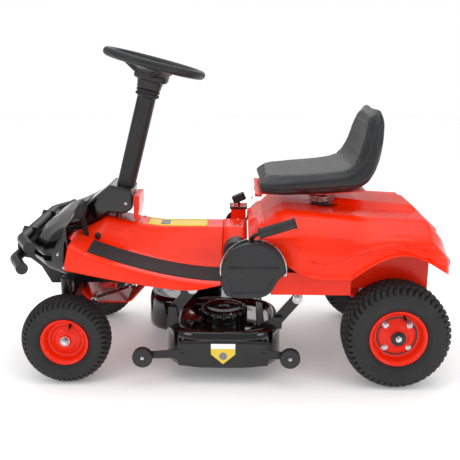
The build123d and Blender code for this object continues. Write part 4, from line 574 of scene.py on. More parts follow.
# --- Wheels ----------------------------------------------------------------------------------
# Turf tyres with staggered blocks and shoulder lugs on two-piece pressed rims. Rims are red enamel,
# the rear ones bolted to a black hub disc with zinc bolts; each has a black rubber valve.
def turf_tyre(radius, width, flange, pitch_count, depth, y, x, rows):
    """Grid round the tyre and across it. Across: bead, bulged sidewall with a raised ring, shoulder, crowned
    tread. Blocks stand where two smoothed pulse trains meet; every other row is shifted by half a pitch."""
    half = width / 2
    across = soft_line([(flange + 1, half - 12), (flange + 7, half - 6), (flange + 16, half - 1),
                        ((flange + radius) / 2 + 4, half), (radius - 20, half - 3), (radius - 9, half - 12),
                        (radius - 1.5, half - 26), (radius, 0.0)], 9, steps=5, straight=5)
    across = np.concatenate([across, across[-2::-1] * np.array([1.0, -1.0])])
    outline = np.concatenate([across, [(flange - 2, 0.0)]])
    count = pitch_count * 12
    angle = np.linspace(0, 2 * math.pi, count, endpoint=False)[:, None]
    r = outline[None, :, 0] + 0 * angle
    offset = outline[None, :, 1] + 0 * angle
    span = half - 6
    place_across = (offset + span) / (2 * span) * rows
    row = np.floor(np.clip(place_across, 0, rows - 0.001))
    local = place_across - row
    phase = angle * pitch_count / (2 * math.pi) + 0.5 * (row % 2) + 0.22 * np.sin(math.pi * (local - 0.5))
    phase = phase - np.floor(phase)
    shoulder = (row < 1) | (row > rows - 2)
    gap = np.where(shoulder, 0.16, 0.13)
    block = step(phase, gap - 0.05, gap + 0.05) * (1 - step(phase, 1 - gap - 0.05, 1 - gap + 0.05))
    middle_rows = step(local, 0.06, 0.17) * (1 - step(local, 0.83, 0.94))
    last_row = np.where(row > rows - 2, step(local, 0.05, 0.16), middle_rows)
    edge_gap = np.where(row < 1, 1 - step(local, 0.84, 0.95), last_row)
    tread = step(r, radius - 24, radius - 19)
    cut = depth * tread * (1 - block * edge_gap)
    ring = 1.2 * np.exp(-((r - (flange + 12)) / 1.3) ** 2) + 0.9 * np.exp(-((r - (radius - 27)) / 1.2) ** 2)
    r = r - cut
    offset = offset - np.sign(offset) * 0.35 * cut * (np.abs(offset) > half - 20)
    offset = offset - np.sign(offset) * (1.2 - ring) * (np.abs(offset) > half - 8) * (1 - tread)
    grid = np.stack([x + r * np.cos(angle), y + offset, radius + r * np.sin(angle)], axis=-1)
    return grid, True, True


def rim_profile(flange, bead, outer, disc, hub, face):
    """Outer half of a pressed rim as (radius, distance from the wheel's middle): rolled flange, bead seat,
    drop to the dish, a step, a raised centre and the hub tube, then back along the inside."""
    return [(hub, face - 34), (hub, face + 4), (hub + 7, face + 4), (hub + 7.5, face - 3), (30, face - 5),
            (36, face - 9), (bead * 0.66, disc - 3), (bead * 0.72, disc - 6), (bead * 0.84, disc - 5),
            (bead * 0.88, disc + 2), (bead - 7, outer - 12), (bead - 3, outer - 5), (flange - 5, outer - 1),
            (flange - 1.5, outer + 0.5), (flange + 0.5, outer - 2), (flange, outer - 5),
            (bead + 0.5, outer - 7), (bead, -outer + 7), (flange, -outer + 5), (flange + 0.5, -outer + 2),
            (flange - 2, -outer), (bead - 4, -outer + 6), (bead - 9, -outer + 16), (bead * 0.86, disc - 12),
            (bead * 0.7, disc - 14), (36, face - 16), (hub + 6, face - 14), (hub + 6, face - 34),
            (hub, face - 34)]


tyre_rubber = rubber("turf_tyre_rubber", "#101011", "#1C1C1E", 1.6, 0.2, 0.6)
rim_enamel = enamel("vermilion_rim_enamel", "#DC1C00", "#E92603", (0.24, 0.34), coat=0.12)
valve_rubber = rubber("valve_rubber", "#141415", "#202021", 1.0, 0.1, 0.5)
for side, hand in ((-1, "left"), (1, "right")):
    for end, x, y, radius, pitches, depth, rows in (
            ("front", -496.0, 282.0, 137.0, 46, 5.5, 6), ("rear", 513.0, 286.5, 165.0, 48, 7.0, 6)):
        low, high = (np.array(corner) * 1000 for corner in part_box(f"{end}_tyre_{hand}"))
        width = high[1] - low[1]
        rim_low, rim_high = (np.array(corner) * 1000 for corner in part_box(f"{end}_rim_{hand}"))
        flange = (rim_high[2] - rim_low[2]) / 2
        bead = flange - 7
        outer = width / 2 - 9
        body = f"{end}_wheel_{hand}"
        tyre = turf_tyre(radius, width, flange, pitches, depth, side * y, x, rows)
        surface(f"{end}_turf_tyre_{hand}", [tyre], tyre_rubber, body, [f"{end}_tyre_{hand}"],
                angle=30)
        hub = 9.6 if end == "front" else 15.0
        face = outer - 14 if end == "front" else width / 2 - 20
        dish = width / 2 - 31
        profile = soft_line(rim_profile(flange, bead, outer, dish, hub, face), 3.0, steps=4, straight=0)
        rim_grid = turned(profile, (x, side * y, radius), (0, side, 0), 96)
        surface(f"{end}_pressed_rim_{hand}", [rim_grid], rim_enamel, body, [f"{end}_rim_{hand}"],
                angle=35)
        foot = np.array([x, side * (y + face + 4), radius])
        nut = turned([(0.01, 13), (5.5, 13), (6, 11), (6, 8), (9.5, 8), (10.5, 6.5), (10.5, 0), (15, 0),
                      (15, -2), (0.01, -2)], foot, (0, side, 0), 36,
                     lambda a, r, d: np.where((r > 9) & (r < 12),
                                              0.9 / np.cos((a % (math.pi / 3)) - math.pi / 6), 1))
        surface(f"{end}_axle_nut_{hand}", [nut], zinc, body, angle=25)
        if end == "rear":
            plate_at = width / 2 - 36
            disc = [(0.01, plate_at - 6), (62, plate_at - 6), (62, plate_at), (14, plate_at),
                    (14, plate_at + 20), (21, plate_at + 21), (23, plate_at + 24), (20, plate_at + 26),
                    (0.01, plate_at + 26)]
            surface(f"rear_hub_disc_{hand}", [turned(disc, (x, side * y, radius), (0, side, 0), 64)],
                    powder_black, body, [f"rear_hub_{hand}"])
            for place in range(4):
                a = math.radians(45 + 90 * place)
                spot = (x + 50 * math.cos(a), side * (y + width / 2 - 36), radius + 50 * math.sin(a))
                bolt = turned([(0.01, 7.5), (4, 7.5), (4.6, 6.6), (8.4, 5.6), (9, 4.6), (9, 0.5), (11, 0),
                               (0.01, -1)], spot, (0, side, 0), 24)
                surface(f"rear_lug_bolt_{hand}_{place + 1}", [bolt], zinc, body, angle=25)
        tilt = np.array([math.cos(math.radians(72)), 0, math.sin(math.radians(72))])
        root = np.array([x, side * (y + outer - 30), radius]) + tilt * bead * 0.82
        tip = root + np.array([-0.12 * tilt[0], side * 0.9, -0.45 * tilt[2]]) * 24
        surface(f"{end}_valve_{hand}", [carried([root, root + (tip - root) * 0.6, tip], [4.5, 4, 3], 16)],
                valve_rubber, body)


# --- Seat ------------------------------------------------------------------------------------
# A one-piece bucket seat: foam covered in grained black vinyl, crowned between its piped edges, with a
# welted seam low on the side and sewn channels across the hips and back. It tilts on a red pan.
def vinyl():
    """Coated vinyl: 2.2 mm leather-like cells pressed in, faint wrinkles 40 mm apart, satin sheen."""
    made, tree, shader, place = start_material("grained_seat_vinyl", IOR=1.48, Specular_IOR_Level=0.55)
    cells = add(tree, "ShaderNodeTexVoronoi", {"feature": "DISTANCE_TO_EDGE", "Scale": 450.0},
                {"Vector": place})
    folds = add(tree, "ShaderNodeTexNoise", {"Scale": 24.0, "Detail": 3.0, "Distortion": 0.8},
                {"Vector": place})
    wear = add(tree, "ShaderNodeTexNoise", {"Scale": 7.0, "Detail": 4.0}, {"Vector": place})
    colour = add(tree, "ShaderNodeValToRGB", {"ramp": [(0.3, linear("#1B1C1E")), (0.75, linear("#252629"))]},
                 {"Fac": wear.outputs["Fac"]})
    gloss = add(tree, "ShaderNodeMapRange", {"To Min": 0.36, "To Max": 0.52}, {"Value": wear.outputs["Fac"]})
    grain = add(tree, "ShaderNodeBump", {"Strength": 0.35, "Distance": 0.0004},
                {"Height": cells.outputs["Distance"]})
    soft = add(tree, "ShaderNodeBump", {"Strength": 0.12, "Distance": 0.003},
               {"Height": folds.outputs["Fac"], "Normal": grain.outputs["Normal"]})
    tree.links.new(colour.outputs["Color"], shader.inputs["Base Color"])
    tree.links.new(gloss.outputs["Result"], shader.inputs["Roughness"])
    tree.links.new(soft.outputs["Normal"], shader.inputs["Normal"])
    return made


SEAT_TOP = [(92, 604), (100, 618), (140, 623), (190, 627), (250, 631), (310, 637), (350, 643), (378, 657),
            (398, 684), (409, 712), (419, 748), (428, 785), (436, 815), (449, 832)]
SEAT_UNDER = [(90, 590), (100, 574), (140, 569), (190, 569), (250, 572), (310, 577), (365, 583), (410, 592),
              (437, 611), (452, 640), (461, 680), (470, 735), (474, 790), (465, 826)]


def smooth_curve(points, count):
    """Evenly spread points on the curve through the given ones, eased by passes of neighbour averaging."""
    points = np.asarray(points, float)
    distance = np.concatenate([[0], np.cumsum(np.linalg.norm(np.diff(points, axis=0), axis=1))])
    t = np.linspace(0, distance[-1], count)
    curve = np.stack([np.interp(t, distance, points[:, k]) for k in (0, 1)], axis=-1)
    for _ in range(6):
        curve[1:-1] = 0.25 * curve[:-2] + 0.5 * curve[1:-1] + 0.25 * curve[2:]
    return curve


rows = 120
top, under = smooth_curve(SEAT_TOP, rows), smooth_curve(SEAT_UNDER, rows)
run = np.linspace(0, 1, rows)
half_width = np.interp(run, [0, 0.03, 0.12, 0.45, 0.62, 0.8, 0.93, 0.98, 1],
                       [168, 180, 190, 198, 198, 188, 160, 138, 110])
around = np.linspace(0, 2 * math.pi, 96, endpoint=False)
power = 0.34
wave_y = np.sign(np.cos(around)) * np.abs(np.cos(around)) ** power
wave_z = np.sign(np.sin(around)) * np.abs(np.sin(around)) ** 0.62
middle, thick = (top + under) / 2, (top - under) / 2
hollow = 15 * np.interp(run, [0, 0.2, 0.45, 0.6, 0.85, 1], [0.2, 0.7, 1.0, 1.0, 0.7, 0.1])[:, None]
y = half_width[:, None] * wave_y[None]
dip = np.where(wave_z > 0, wave_z, 0)[None] * hollow * (1 - (y / 200) ** 2) ** 1.5
level = thick / (np.linalg.norm(thick, axis=1, keepdims=True) + 1e-6)
seat = np.stack([middle[:, None, 0] + thick[:, None, 0] * wave_z - level[:, None, 0] * dip, y,
                 middle[:, None, 1] + thick[:, None, 1] * wave_z - level[:, None, 1] * dip], axis=-1)
for _ in range(2):
    seat[1:-1] = 0.25 * seat[:-2] + 0.5 * seat[1:-1] + 0.25 * seat[2:]
caps = [np.broadcast_to(seat[k].mean(axis=0), (1, 96, 3)) for k in (0, -1)]
blank = surface("seat_form", [(np.concatenate([caps[0], seat, caps[1]]), False, True)], vinyl(), "seat")


def inflate(blank, name, cap_mm):
    """Swells a closed form as filled foam does: remeshed, then cloth under pressure, its travel capped."""
    form = blank.copy()
    form.data = blank.data.copy()
    form.name = name
    bpy.context.scene.collection.objects.link(form)
    remesh = form.modifiers.new("remesh", "REMESH")
    remesh.mode = "VOXEL"
    remesh.voxel_size = 0.0055
    depsgraph = bpy.context.evaluated_depsgraph_get()
    mesh = bpy.data.meshes.new_from_object(form.evaluated_get(depsgraph))
    form.modifiers.clear()
    form.data = mesh
    count = len(mesh.vertices)
    before = np.empty(count * 3)
    mesh.vertices.foreach_get("co", before)
    cloth = form.modifiers.new("cloth", "CLOTH")
    cloth.settings.use_pressure = True
    cloth.settings.uniform_pressure_force = 4
    cloth.settings.effector_weights.gravity = 0
    cloth.settings.tension_stiffness = 40
    cloth.settings.compression_stiffness = 40
    for number in range(1, 17):
        bpy.context.scene.frame_set(number)
    depsgraph = bpy.context.evaluated_depsgraph_get()
    swollen = bpy.data.meshes.new_from_object(form.evaluated_get(depsgraph))
    after = np.empty(count * 3)
    swollen.vertices.foreach_get("co", after)
    form.modifiers.clear()
    bpy.context.scene.frame_set(1)
    move = (after - before).reshape(-1, 3)
    size = np.linalg.norm(move, axis=1, keepdims=True) + 1e-9
    after = before.reshape(-1, 3) + move * np.minimum(1, cap_mm / 1000 / size)
    return form, after


cushion, points = inflate(blank, "seat_bucket_cushion", 7.0)
bpy.data.objects.remove(blank)
mesh = cushion.data
normal = np.empty(len(mesh.vertices) * 3)
mesh.vertices.foreach_get("normal", normal)
normal = normal.reshape(-1, 3)
mm = points * 1000
seam_line = np.interp(mm[:, 0], [80, 150, 300, 400, 440, 480], [588, 583, 590, 602, 625, 700])
low_seam = np.exp(-((mm[:, 2] - seam_line) / 3.0) ** 2) * (mm[:, 2] < 680)
upright = step(mm[:, 2], 660, 690)
inside = step(178 - np.abs(mm[:, 1]), 0, 8)
facing = np.clip(normal[:, 2] * (1 - upright) - normal[:, 0] * upright, 0, 1)
panel = np.exp(-((np.abs(mm[:, 1]) - 150) / 2.6) ** 2) * facing
flute = np.zeros(len(mm))
for place in (160, 215, 270, 325):
    flute = flute + np.exp(-((mm[:, 0] - place) / 3.0) ** 2) * (1 - upright)
for place in (700, 740, 780):
    flute = flute + np.exp(-((mm[:, 2] - place) / 3.0) ** 2) * upright
flute = flute * facing * step(148 - np.abs(mm[:, 1]), 0, 6)
points = points - normal * (0.003 * low_seam + 0.0022 * panel + 0.002 * flute)[:, None]
points[:, 2] = np.clip(points[:, 2], 0.5678, 0.8425)
points[:, 0] = np.clip(points[:, 0], 0.0812, 0.4795)
points[:, 1] = np.clip(points[:, 1], -0.204, 0.204)
mesh.vertices.foreach_set("co", points.reshape(-1))
mesh.update()
mesh.shade_smooth()
finer = cushion.modifiers.new("finer", "SUBSURF")
finer.levels = finer.render_levels = 1
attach(cushion, "seat")
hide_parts("seat_cushion")

cup_black, tree, shader, place = start_material("black_spring_cup_enamel", Roughness=0.3, IOR=1.5)
cup_dust = add(tree, "ShaderNodeTexNoise", {"Scale": 60.0, "Detail": 3.0}, {"Vector": place})
cup_tint = add(tree, "ShaderNodeValToRGB", {"ramp": [(0.3, linear("#0C0C0D")), (0.8, linear("#1A1A1B"))]},
               {"Fac": cup_dust.outputs["Fac"]})
tree.links.new(cup_tint.outputs["Color"], shader.inputs["Base Color"])
for side, hand in ((-1, "left"), (1, "right")):
    foot = (312, side * 80, 524.5)
    stretch = turned([(0.01, 0.6), (34, 0.6), (40, 1.4), (42, 2.4), (44, 1.6), (47, 0.2), (47, -1),
                     (0.01, -1)], foot, (0, 0, 1), 72)
    grid = stretch[0].copy()
    grid[..., 0] = foot[0] + (grid[..., 0] - foot[0]) * 1.12
    grid[..., 1] = foot[1] + (grid[..., 1] - foot[1]) * 0.72
    surface(f"spring_cup_{hand}", [(grid, True, False)], cup_black, "chassis")


# --- Deck lift lever and its cover -----------------------------------------------------------
# A moulded D-shaped cover with two sunk panels over a notched zinc quadrant, and a ribbed rubber grip
# pushed on to the bent lever.
def distance_inside(x, z, outline):
    """Distance to a polygon's edge, positive inside it: nearest point on any side, with the sign from how
    many sides a ray crosses."""
    outline = np.asarray(outline, float)
    other = np.roll(outline, -1, axis=0)
    nearest = np.full(x.shape, 1e9)
    inside = np.zeros(x.shape, bool)
    for (ax, az), (bx, bz) in zip(outline, other):
        t = np.clip(((x - ax) * (bx - ax) + (z - az) * (bz - az)) / ((bx - ax) ** 2 + (bz - az) ** 2), 0, 1)
        nearest = np.minimum(nearest, np.hypot(x - ax - t * (bx - ax), z - az - t * (bz - az)))
        crosses = (az > z) != (bz > z)
        inside ^= crosses & (x < (bx - ax) * (z - az) / (bz - az + 1e-12) + ax)
    return np.where(inside, nearest, -nearest)


dome = np.radians(np.linspace(8, 172, 40))
arc = [(76 + 97 * math.cos(a), 364 + 94 * math.sin(a)) for a in dome]
outline = soft_line(np.array(arc + [(-20, 372), (-17, 325), (-6, 297), (38, 289), (102, 293), (126, 305),
                                    (150, 350), (172, 368), arc[0]]),
                    [0] * 40 + [6, 14, 12, 12, 12, 16, 12, 6, 0], 4, 1)
outline = outline[:-1]
middle = np.array([76.0, 362.0])
scale = np.concatenate([np.linspace(0.001, 0.93, 74), [0.955, 0.975, 0.99, 0.998, 1.0]])[:, None]
px = middle[0] + (outline[None, :, 0] - middle[0]) * scale
pz = middle[1] + (outline[None, :, 1] - middle[1]) * scale
upper_panel = [(76 + 76 * math.cos(a), 384 + 54 * math.sin(a)) for a in np.radians(np.linspace(0, 180, 24))]
lower_panel = [(2, 362), (6, 318), (16, 306), (104, 308), (118, 318), (136, 354), (132, 364)]
sunk = sum(3.2 * step(distance_inside(px, pz, panel), 0, 3.5) for panel in (upper_panel, lower_panel))
edge = 6 * (1 - np.sqrt(np.clip(1 - (np.clip(scale - 0.93, 0, None) / 0.07) ** 2, 0, 1)))
face = np.stack([px, -345 + sunk + edge, pz], axis=-1)
back = np.stack([outline[:, 0], np.full(len(outline), -317.0), outline[:, 1]], axis=-1)[None]
mid = np.broadcast_to(np.array([middle[0], -317.0, middle[1]]), back.shape)
surface("lever_cover_moulding", [(np.concatenate([face, back, mid]), False, True)], satin_abs, "chassis",
        ["lever_cover"], angle=45)
for place, (bx, bz) in enumerate(((-8, 390), (158, 390))):
    head = turned([(0.01, 5), (4, 4.6), (6, 3), (6.6, 0), (0.01, 0)], (bx, -303.5, bz), (0, -1, 0), 32)
    surface(f"quadrant_bolt_{place + 1}", [head], zinc, "chassis")

grip_rubber = rubber("ribbed_grip_rubber", "#1E1E20", "#2C2C2F", 1.0, 0.15, 0.6)
start, finish_point = np.array([90.0, -330, 485]), np.array([197.0, -330, 519])
length = np.linalg.norm(finish_point - start)
t = np.linspace(6, length - 6, 90)
barrel = np.stack([14.6 + 0.8 * np.abs(np.sin(math.pi * t / 9.0)) ** 0.5, t], axis=-1)
profile = np.concatenate([[(6.1, 0), (15, 0), (18, 1.5), (18, 4.5)], barrel,
                          [(18, length - 4.5), (18, length - 1), (15, length), (9, length),
                           (0.01, length - 1)]])
surface("lever_hand_grip", [turned(profile, start, finish_point - start, 72,
        lambda a, r, d: 1 - 0.02 * (np.cos(a * 18) > 0.4) * (r < 16.5) * (d > 6) * (d < 106))],
        grip_rubber, "lift_lever", ["lever_grip"])


# --- Cutting deck ----------------------------------------------------------------------------
# Two staggered lobes pressed from 2.5 mm steel and welded together, gloss black enamel inside and out:
# a raised ring round a dished top, a ribbed spindle cover in each dish, and a flat outer side.
def lobe(cx, cy, flat_side):
    """A lobe as a ring of profiles: plan radius is a superellipse of power 3.1 cut flat on its outer side;
    the profile rises from the hem, rounds over the ring and falls into the dish."""
    angle = np.linspace(0, 2 * math.pi, 240, endpoint=False)[:, None]
    radius = 183.3 / (np.abs(np.cos(angle)) ** 3.1 + np.abs(np.sin(angle) * 1.047) ** 3.1) ** (1 / 3.1)
    toward = np.sin(angle) * flat_side
    radius = np.where(toward > 0.2, np.minimum(radius, 173.5 / np.clip(toward, 0.2, 1)), radius)
    levels = np.array([(1.0, 58), (1.0, 72), (0.997, 100), (0.993, 128), (0.988, 143), (0.978, 154),
                       (0.96, 162.5), (0.935, 168), (0.905, 170.5), (0.875, 170.5), (0.85, 168),
                       (0.825, 163), (0.8, 158), (0.77, 155), (0.7, 153.5), (0.6, 154), (0.44, 156),
                       (0.2, 156), (0.07, 156)])
    r = radius * levels[None, :, 0]
    height = levels[None, :, 1] + 0 * angle
    return np.stack([cx + r * np.cos(angle), cy + r * np.sin(angle), height], -1), True, False


deck_enamel = enamel("gloss_black_deck_enamel", "#080607", "#0F0A0B", (0.06, 0.12), coat=1.0)
left_lobe = lobe(-13.5, -146, -1)
right_lobe = lobe(-101.5, 146, 1)
surface("deck_pressing", [left_lobe, right_lobe], deck_enamel, "deck", ["deck_shell"],
        wall=2.5, closed=False, angle=50)
along, up = np.meshgrid(np.linspace(-150, 124, 60), np.linspace(0, 1, 30), indexing="ij")
hem = 59.5 + 7 * ((along + 13) / 137) ** 2
top_edge = 148 - 4 * ((along + 13) / 137) ** 2
turn_in = 9 * np.clip((up - 0.88) / 0.12, 0, 1) ** 2
panel = np.stack([along, -320.5 - 2.6 * (1 - ((along + 13) / 137) ** 2) + turn_in,
                  hem + (top_edge - hem) * up], axis=-1)
surface("deck_side_panel", [(panel, False, False)], powder_black, "deck", wall=2.5,
        closed=False)
for place, x_end, root in (("front", -257.0, -150.0), ("rear", 190.0, 124.0)):
    way = 1 if x_end > root else -1
    plate(f"gauge_wheel_arm_{place}", [(root - 34 * way, 90), (root - 34 * way, 118), (root, 118),
          (x_end - 12 * way, 110), (x_end + 4 * way, 109), (x_end + 10 * way, 98), (x_end + 4 * way, 88),
          (x_end - 12 * way, 88)], -317.5, -322, 0.8, powder_black, "deck", segments=2)
    pin = turned([(0.01, 34), (4, 33.5), (6.5, 31), (7, 28), (5, 28), (5, 0), (0.01, 0)], (x_end, -314, 98),
                 (0, -1, 0), 32)
    surface(f"gauge_wheel_pin_{place}", [pin], zinc, "deck")
    head = turned([(0.01, 3.5), (4, 3.2), (6, 1.8), (6.4, 0), (0.01, -1)], (root - 12 * way, -322, 104),
                  (0, -1, 0), 24)
    surface(f"gauge_arm_bolt_{place}", [head], powder_black, "deck")

for side, hand in ((-1, "left"), (1, "right")):
    outer = side * 242
    plate(f"front_hanger_{hand}",
          [(-192, 158), (-152, 158), (-160, 222), (-165, 228), (-177, 228), (-183, 222)],
          outer, outer + side * 4, 1.2, powder_black, "deck", segments=2)
    plate(f"rear_hanger_{hand}", [(93, 155), (168, 157), (171, 196), (142, 196), (100, 172)],
          outer, outer + side * 4, 1.2, powder_black, "deck", segments=2)
    for place, px, pz in (("front", -171, 211), ("rear", 155, 181)):
        stud = turned([(0.01, 24), (6, 23), (9, 21), (9.5, 16), (6, 16), (6, 0), (0.01, 0)],
                      (px, side * 222, pz), (0, side, 0), 28)
        surface(f"{place}_link_pin_{hand}", [stud], zinc, "deck")
    plate(f"deck_crossbar_{hand}", [(93, 160), (115, 160), (115, 166), (93, 166)], side * 4, outer,
                  0.8, powder_black, "deck", segments=2)

for hand, cx, cy in (("left", -13.5, -145.0), ("right", -101.5, 145.0)):
    wall = [(76, 155), (76, 159), (72, 161), (72, 186), (70, 191), (65, 195), (60, 196), (52, 195),
            (48, 193.5), (20, 193.5), (0.01, 193.8)]
    cover = turned(wall, (cx, cy, 0), (0, 0, 1), 384,
                   lambda a, r, z: 1 + 0.05 * step(np.cos(a * 16), 0.55, 0.85) * (r > 64) * (z > 160))
    surface(f"spindle_cover_{hand}", [cover], gloss_abs, "deck",
            ["pulley_covers"] if hand == "left" else (), wall=2.0, closed=False, angle=28)
    for place in range(4):
        a = math.radians(20 + 90 * place)
        head = turned([(0.01, 3), (3.5, 2.8), (5, 1.5), (5.4, 0), (0.01, -1)],
                      (cx + 68 * math.cos(a), cy + 68 * math.sin(a), 191.5), (0, 0, 1), 24)
        surface(f"cover_screw_{hand}_{place + 1}", [head], zinc, "deck")
    for place, a in enumerate((math.radians(205), math.radians(-25))):
        if hand == "right":
            a = -a
        angle = np.linspace(0, 2 * math.pi, 48, endpoint=False)
        loop_x, loop_y = 16 * np.cos(angle), 7.5 * np.sin(angle)
        turn_by = a + math.pi / 2
        ring = np.stack([cx + 118 * math.cos(a) + loop_x * math.cos(turn_by) - loop_y * math.sin(turn_by),
                         cy + 118 * math.sin(a) + loop_x * math.sin(turn_by) + loop_y * math.cos(turn_by),
                         np.full(48, 157.6)], axis=-1)
        centre = ring.mean(axis=0)
        out = (ring - centre) / np.linalg.norm(ring - centre, axis=1, keepdims=True)
        tube = np.linspace(0, 2 * math.pi, 10, endpoint=False)
        grid = ring[:, None] + 1.9 * (np.cos(tube)[None, :, None] * out[:, None]
                                      + np.sin(tube)[None, :, None] * np.array([0, 0, 1.0]))
        surface(f"slot_ring_{hand}_{place + 1}", [(grid, True, True)], zinc, "deck")

for side, hand in ((-1, "left"), (1, "right")):
    for body, spot_x, spot_z in (("front_links", -110, 284), ("rear_links", 216, 254)):
        head = turned([(0.01, 6), (7, 6), (7.6, 5), (12, 4), (13, 3), (13, 0.5), (16, 0), (16, -2),
                      (0.01, -2)], (spot_x, side * 241, spot_z), (0, side, 0), 36)
        surface(f"{body}_bolt_{hand}", [head], zinc, body, angle=25)

white_film = film("white_vinyl_film", "#EDEDEB")
for name, corners, lift, material in (
        ("deck_label_upper", [(-50, 138), (24, 138), (24, 122), (-50, 122)], 0.4, white_film),
        ("deck_label_lower", [(-50, 122), (24, 122), (24, 104), (-13, 72), (-50, 104)], 0.4, yellow_film),
        ("deck_label_mark",
         [(-13 + 12 * math.cos(a), 98 + 12 * math.sin(a)) for a in np.linspace(0, 6.28, 40)],
         0.8, grey_film)):
    corners = np.asarray(corners, float)
    rings = np.concatenate([corners, corners[:1]])
    rings = np.concatenate([rings[k] + (rings[k + 1] - rings[k]) * np.linspace(0, 1, 8)[:-1, None]
                            for k in range(len(rings) - 1)])
    core = rings.mean(axis=0)
    scale = np.linspace(0.001, 1, 10)[:, None]
    lx = core[0] + (rings[None, :, 0] - core[0]) * scale
    lz = core[1] + (rings[None, :, 1] - core[1]) * scale
    ly = -320.5 - 2.6 * (1 - ((lx + 13) / 137) ** 2) - lift
    surface(name, [(np.stack([lx, ly, lz], axis=-1), False, True)], material, "deck", closed=False)


# --- Pedal and small fasteners ---------------------------------------------------------------
# The clutch and brake pedal wears a ribbed rubber pad; zinc screws hold the cowl, console and covers.
nodes["clutch_pedal"].data.materials.clear()
nodes["clutch_pedal"].data.materials.append(mat_rubber)
for place in range(6):
    t = place / 5
    px, pz = np.interp(t, [0, 0.55, 1], [-478, -473.5, -461]), np.interp(t, [0, 0.55, 1], [498, 520, 539])
    bar = [(px - 0.5, -190, pz - 2), (px - 0.5, -162, pz), (px - 0.5, -134, pz + 2)]
    surface(f"pedal_rib_{place + 1}", [carried(bar, [2.0, 2.2, 2.0], 10)], mat_rubber, "clutch_pedal")
RIM_BARS = [((1.5, 62.5), (107.5, 113)), ((1.5, 62.5), (177, 182.5)), ((1.5, 7), (113, 177)),
            ((57, 62.5), (113, 177))]
for place, ((x_from, x_to), (y_from, y_to)) in enumerate(RIM_BARS):
    plate(f"gear_box_rim_{place + 1}", [(x_from, 461), (x_to, 461), (x_to, 468.8), (x_from, 468.8)],
          y_from, y_to, 1.2, satin_abs, "chassis", segments=2)
SCREWS = [("console_bolt_left", (-335, -75, 515), (0, -1, 0), 6),
          ("console_bolt_right", (-335, 75, 515), (0, 1, 0), 6),
          ("cowl_screw_left", (-512, -283, 405), (-0.5, -1, 0.4), 5),
          ("cowl_screw_right", (-512, 283, 405), (-0.5, 1, 0.4), 5),
          ("tub_screw_left", (-487, -320.5, 374), (0, -1, 0), 4),
          ("tub_screw_right", (-487, 320.5, 374), (0, 1, 0), 4),
          ("riser_screw_1", (78, -62, 512), (-1, 0, 0.6), 5),
          ("riser_screw_2", (78, 62, 512), (-1, 0, 0.6), 5),
          ("tunnel_screw_1", (-286, -44, 449.5), (0, 0, 1), 4),
          ("tunnel_screw_2", (-286, 44, 449.5), (0, 0, 1), 4),
          ("tunnel_screw_3", (30, -44, 440), (0, 0, 1), 4),
          ("tunnel_screw_4", (30, 44, 440), (0, 0, 1), 4)]
for name, spot, facing, size in SCREWS:
    head = turned([(0.01, 0.55 * size), (0.3 * size, 0.52 * size), (0.75 * size, 0.36 * size),
                   (size, 0.05 * size), (size, -0.3 * size), (0.01, -0.3 * size)], spot, facing, 32)
    surface(name, [head], zinc, "chassis")


# --- Studio ----------------------------------------------------------------------------------
# A pale sweep of floor, a soft white surround and large soft boxes; the camera stands at the left side.
ground = bpy.data.meshes.new("floor")
ground.from_pydata([(-9, -9, 0), (9, -9, 0), (9, 9, 0), (-9, 9, 0)], [], [(0, 1, 2, 3)])
paper, tree, shader, place = start_material("pale_studio_paper", Roughness=0.75, Emission_Strength=0.12,
                                             Emission_Color=(1, 1, 1, 1))
tone = add(tree, "ShaderNodeTexNoise", {"Scale": 3.0}, {"Vector": place})
pale = add(tree, "ShaderNodeValToRGB", {"ramp": [(0.0, linear("#F4F4F4")), (1.0, linear("#F8F8F8"))]},
           {"Fac": tone.outputs["Fac"]})
tree.links.new(pale.outputs["Color"], shader.inputs["Base Color"])
ground.materials.append(paper)
floor_object = bpy.data.objects.new("floor", ground)
bpy.context.scene.collection.objects.link(floor_object)

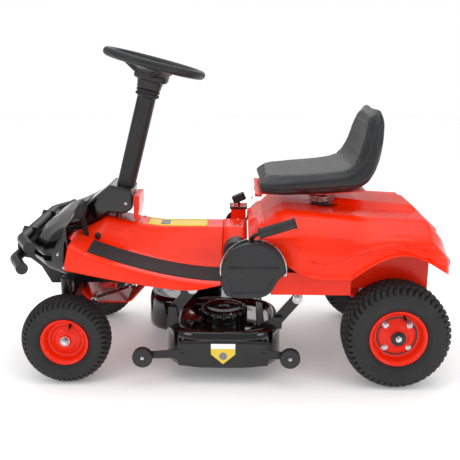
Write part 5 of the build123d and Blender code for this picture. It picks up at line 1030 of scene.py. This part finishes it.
world = bpy.data.worlds.new("surround")
bpy.context.scene.world = world
world.use_nodes = True
sky = world.node_tree
surround_white = sky.nodes["Background"]
surround_white.inputs["Color"].default_value = (1, 1, 1, 1)
surround_white.inputs["Strength"].default_value = 1.0
mirrored = add(sky, "ShaderNodeBackground", {"Color": (1, 1, 1, 1), "Strength": 0.42})
ray = add(sky, "ShaderNodeLightPath")
blend = add(sky, "ShaderNodeMixShader", links={"Fac": ray.outputs["Is Glossy Ray"]})
sky.links.new(surround_white.outputs["Background"], blend.inputs[1])
sky.links.new(mirrored.outputs["Background"], blend.inputs[2])
sky.links.new(blend.outputs["Shader"], sky.nodes["World Output"].inputs["Surface"])
for name, spot, aim, size, power in (
        ("top_box", (0.0, -0.1, 3.2), (0, 0, 0.2), 3.4, 40),
        ("left_box", (-2.4, -2.2, 1.9), (0, 0, 0.4), 1.2, 12),
        ("right_box", (2.5, -2.0, 1.7), (0.2, 0, 0.4), 1.1, 9),
        ("back_box", (0.0, 2.8, 2.2), (0, 0, 0.4), 2.2, 14)):
    light = bpy.data.lights.new(name, "AREA")
    light.shape = "SQUARE"
    light.size = size
    light.energy = power
    lamp = bpy.data.objects.new(name, light)
    bpy.context.scene.collection.objects.link(lamp)
    lamp.location = spot
    heading = np.array(aim, float) - np.array(spot, float)
    flat = math.hypot(heading[0], heading[1])
    lamp.rotation_euler = (math.atan2(flat, -heading[2]), 0, math.atan2(heading[1], heading[0]) - math.pi / 2)

lens_data = bpy.data.cameras.new("camera")
lens_data.sensor_width = 36
lens_data.lens = 722.9 / 460 * 36
camera = bpy.data.objects.new("camera", lens_data)
bpy.context.scene.collection.objects.link(camera)
camera.location = (0.020, -2.3628, 1.0099)
pitch, yaw, roll = math.radians(14.18), math.radians(0.40), math.radians(0.35)
turn_camera = (Matrix.Rotation(yaw, 4, "Z") @ Matrix.Rotation(math.pi / 2 - pitch, 4, "X")
               @ Matrix.Rotation(roll, 4, "Z"))
camera.rotation_euler = turn_camera.to_euler()
bpy.context.scene.camera = camera
bpy.context.scene.view_settings.view_transform = "Standard"
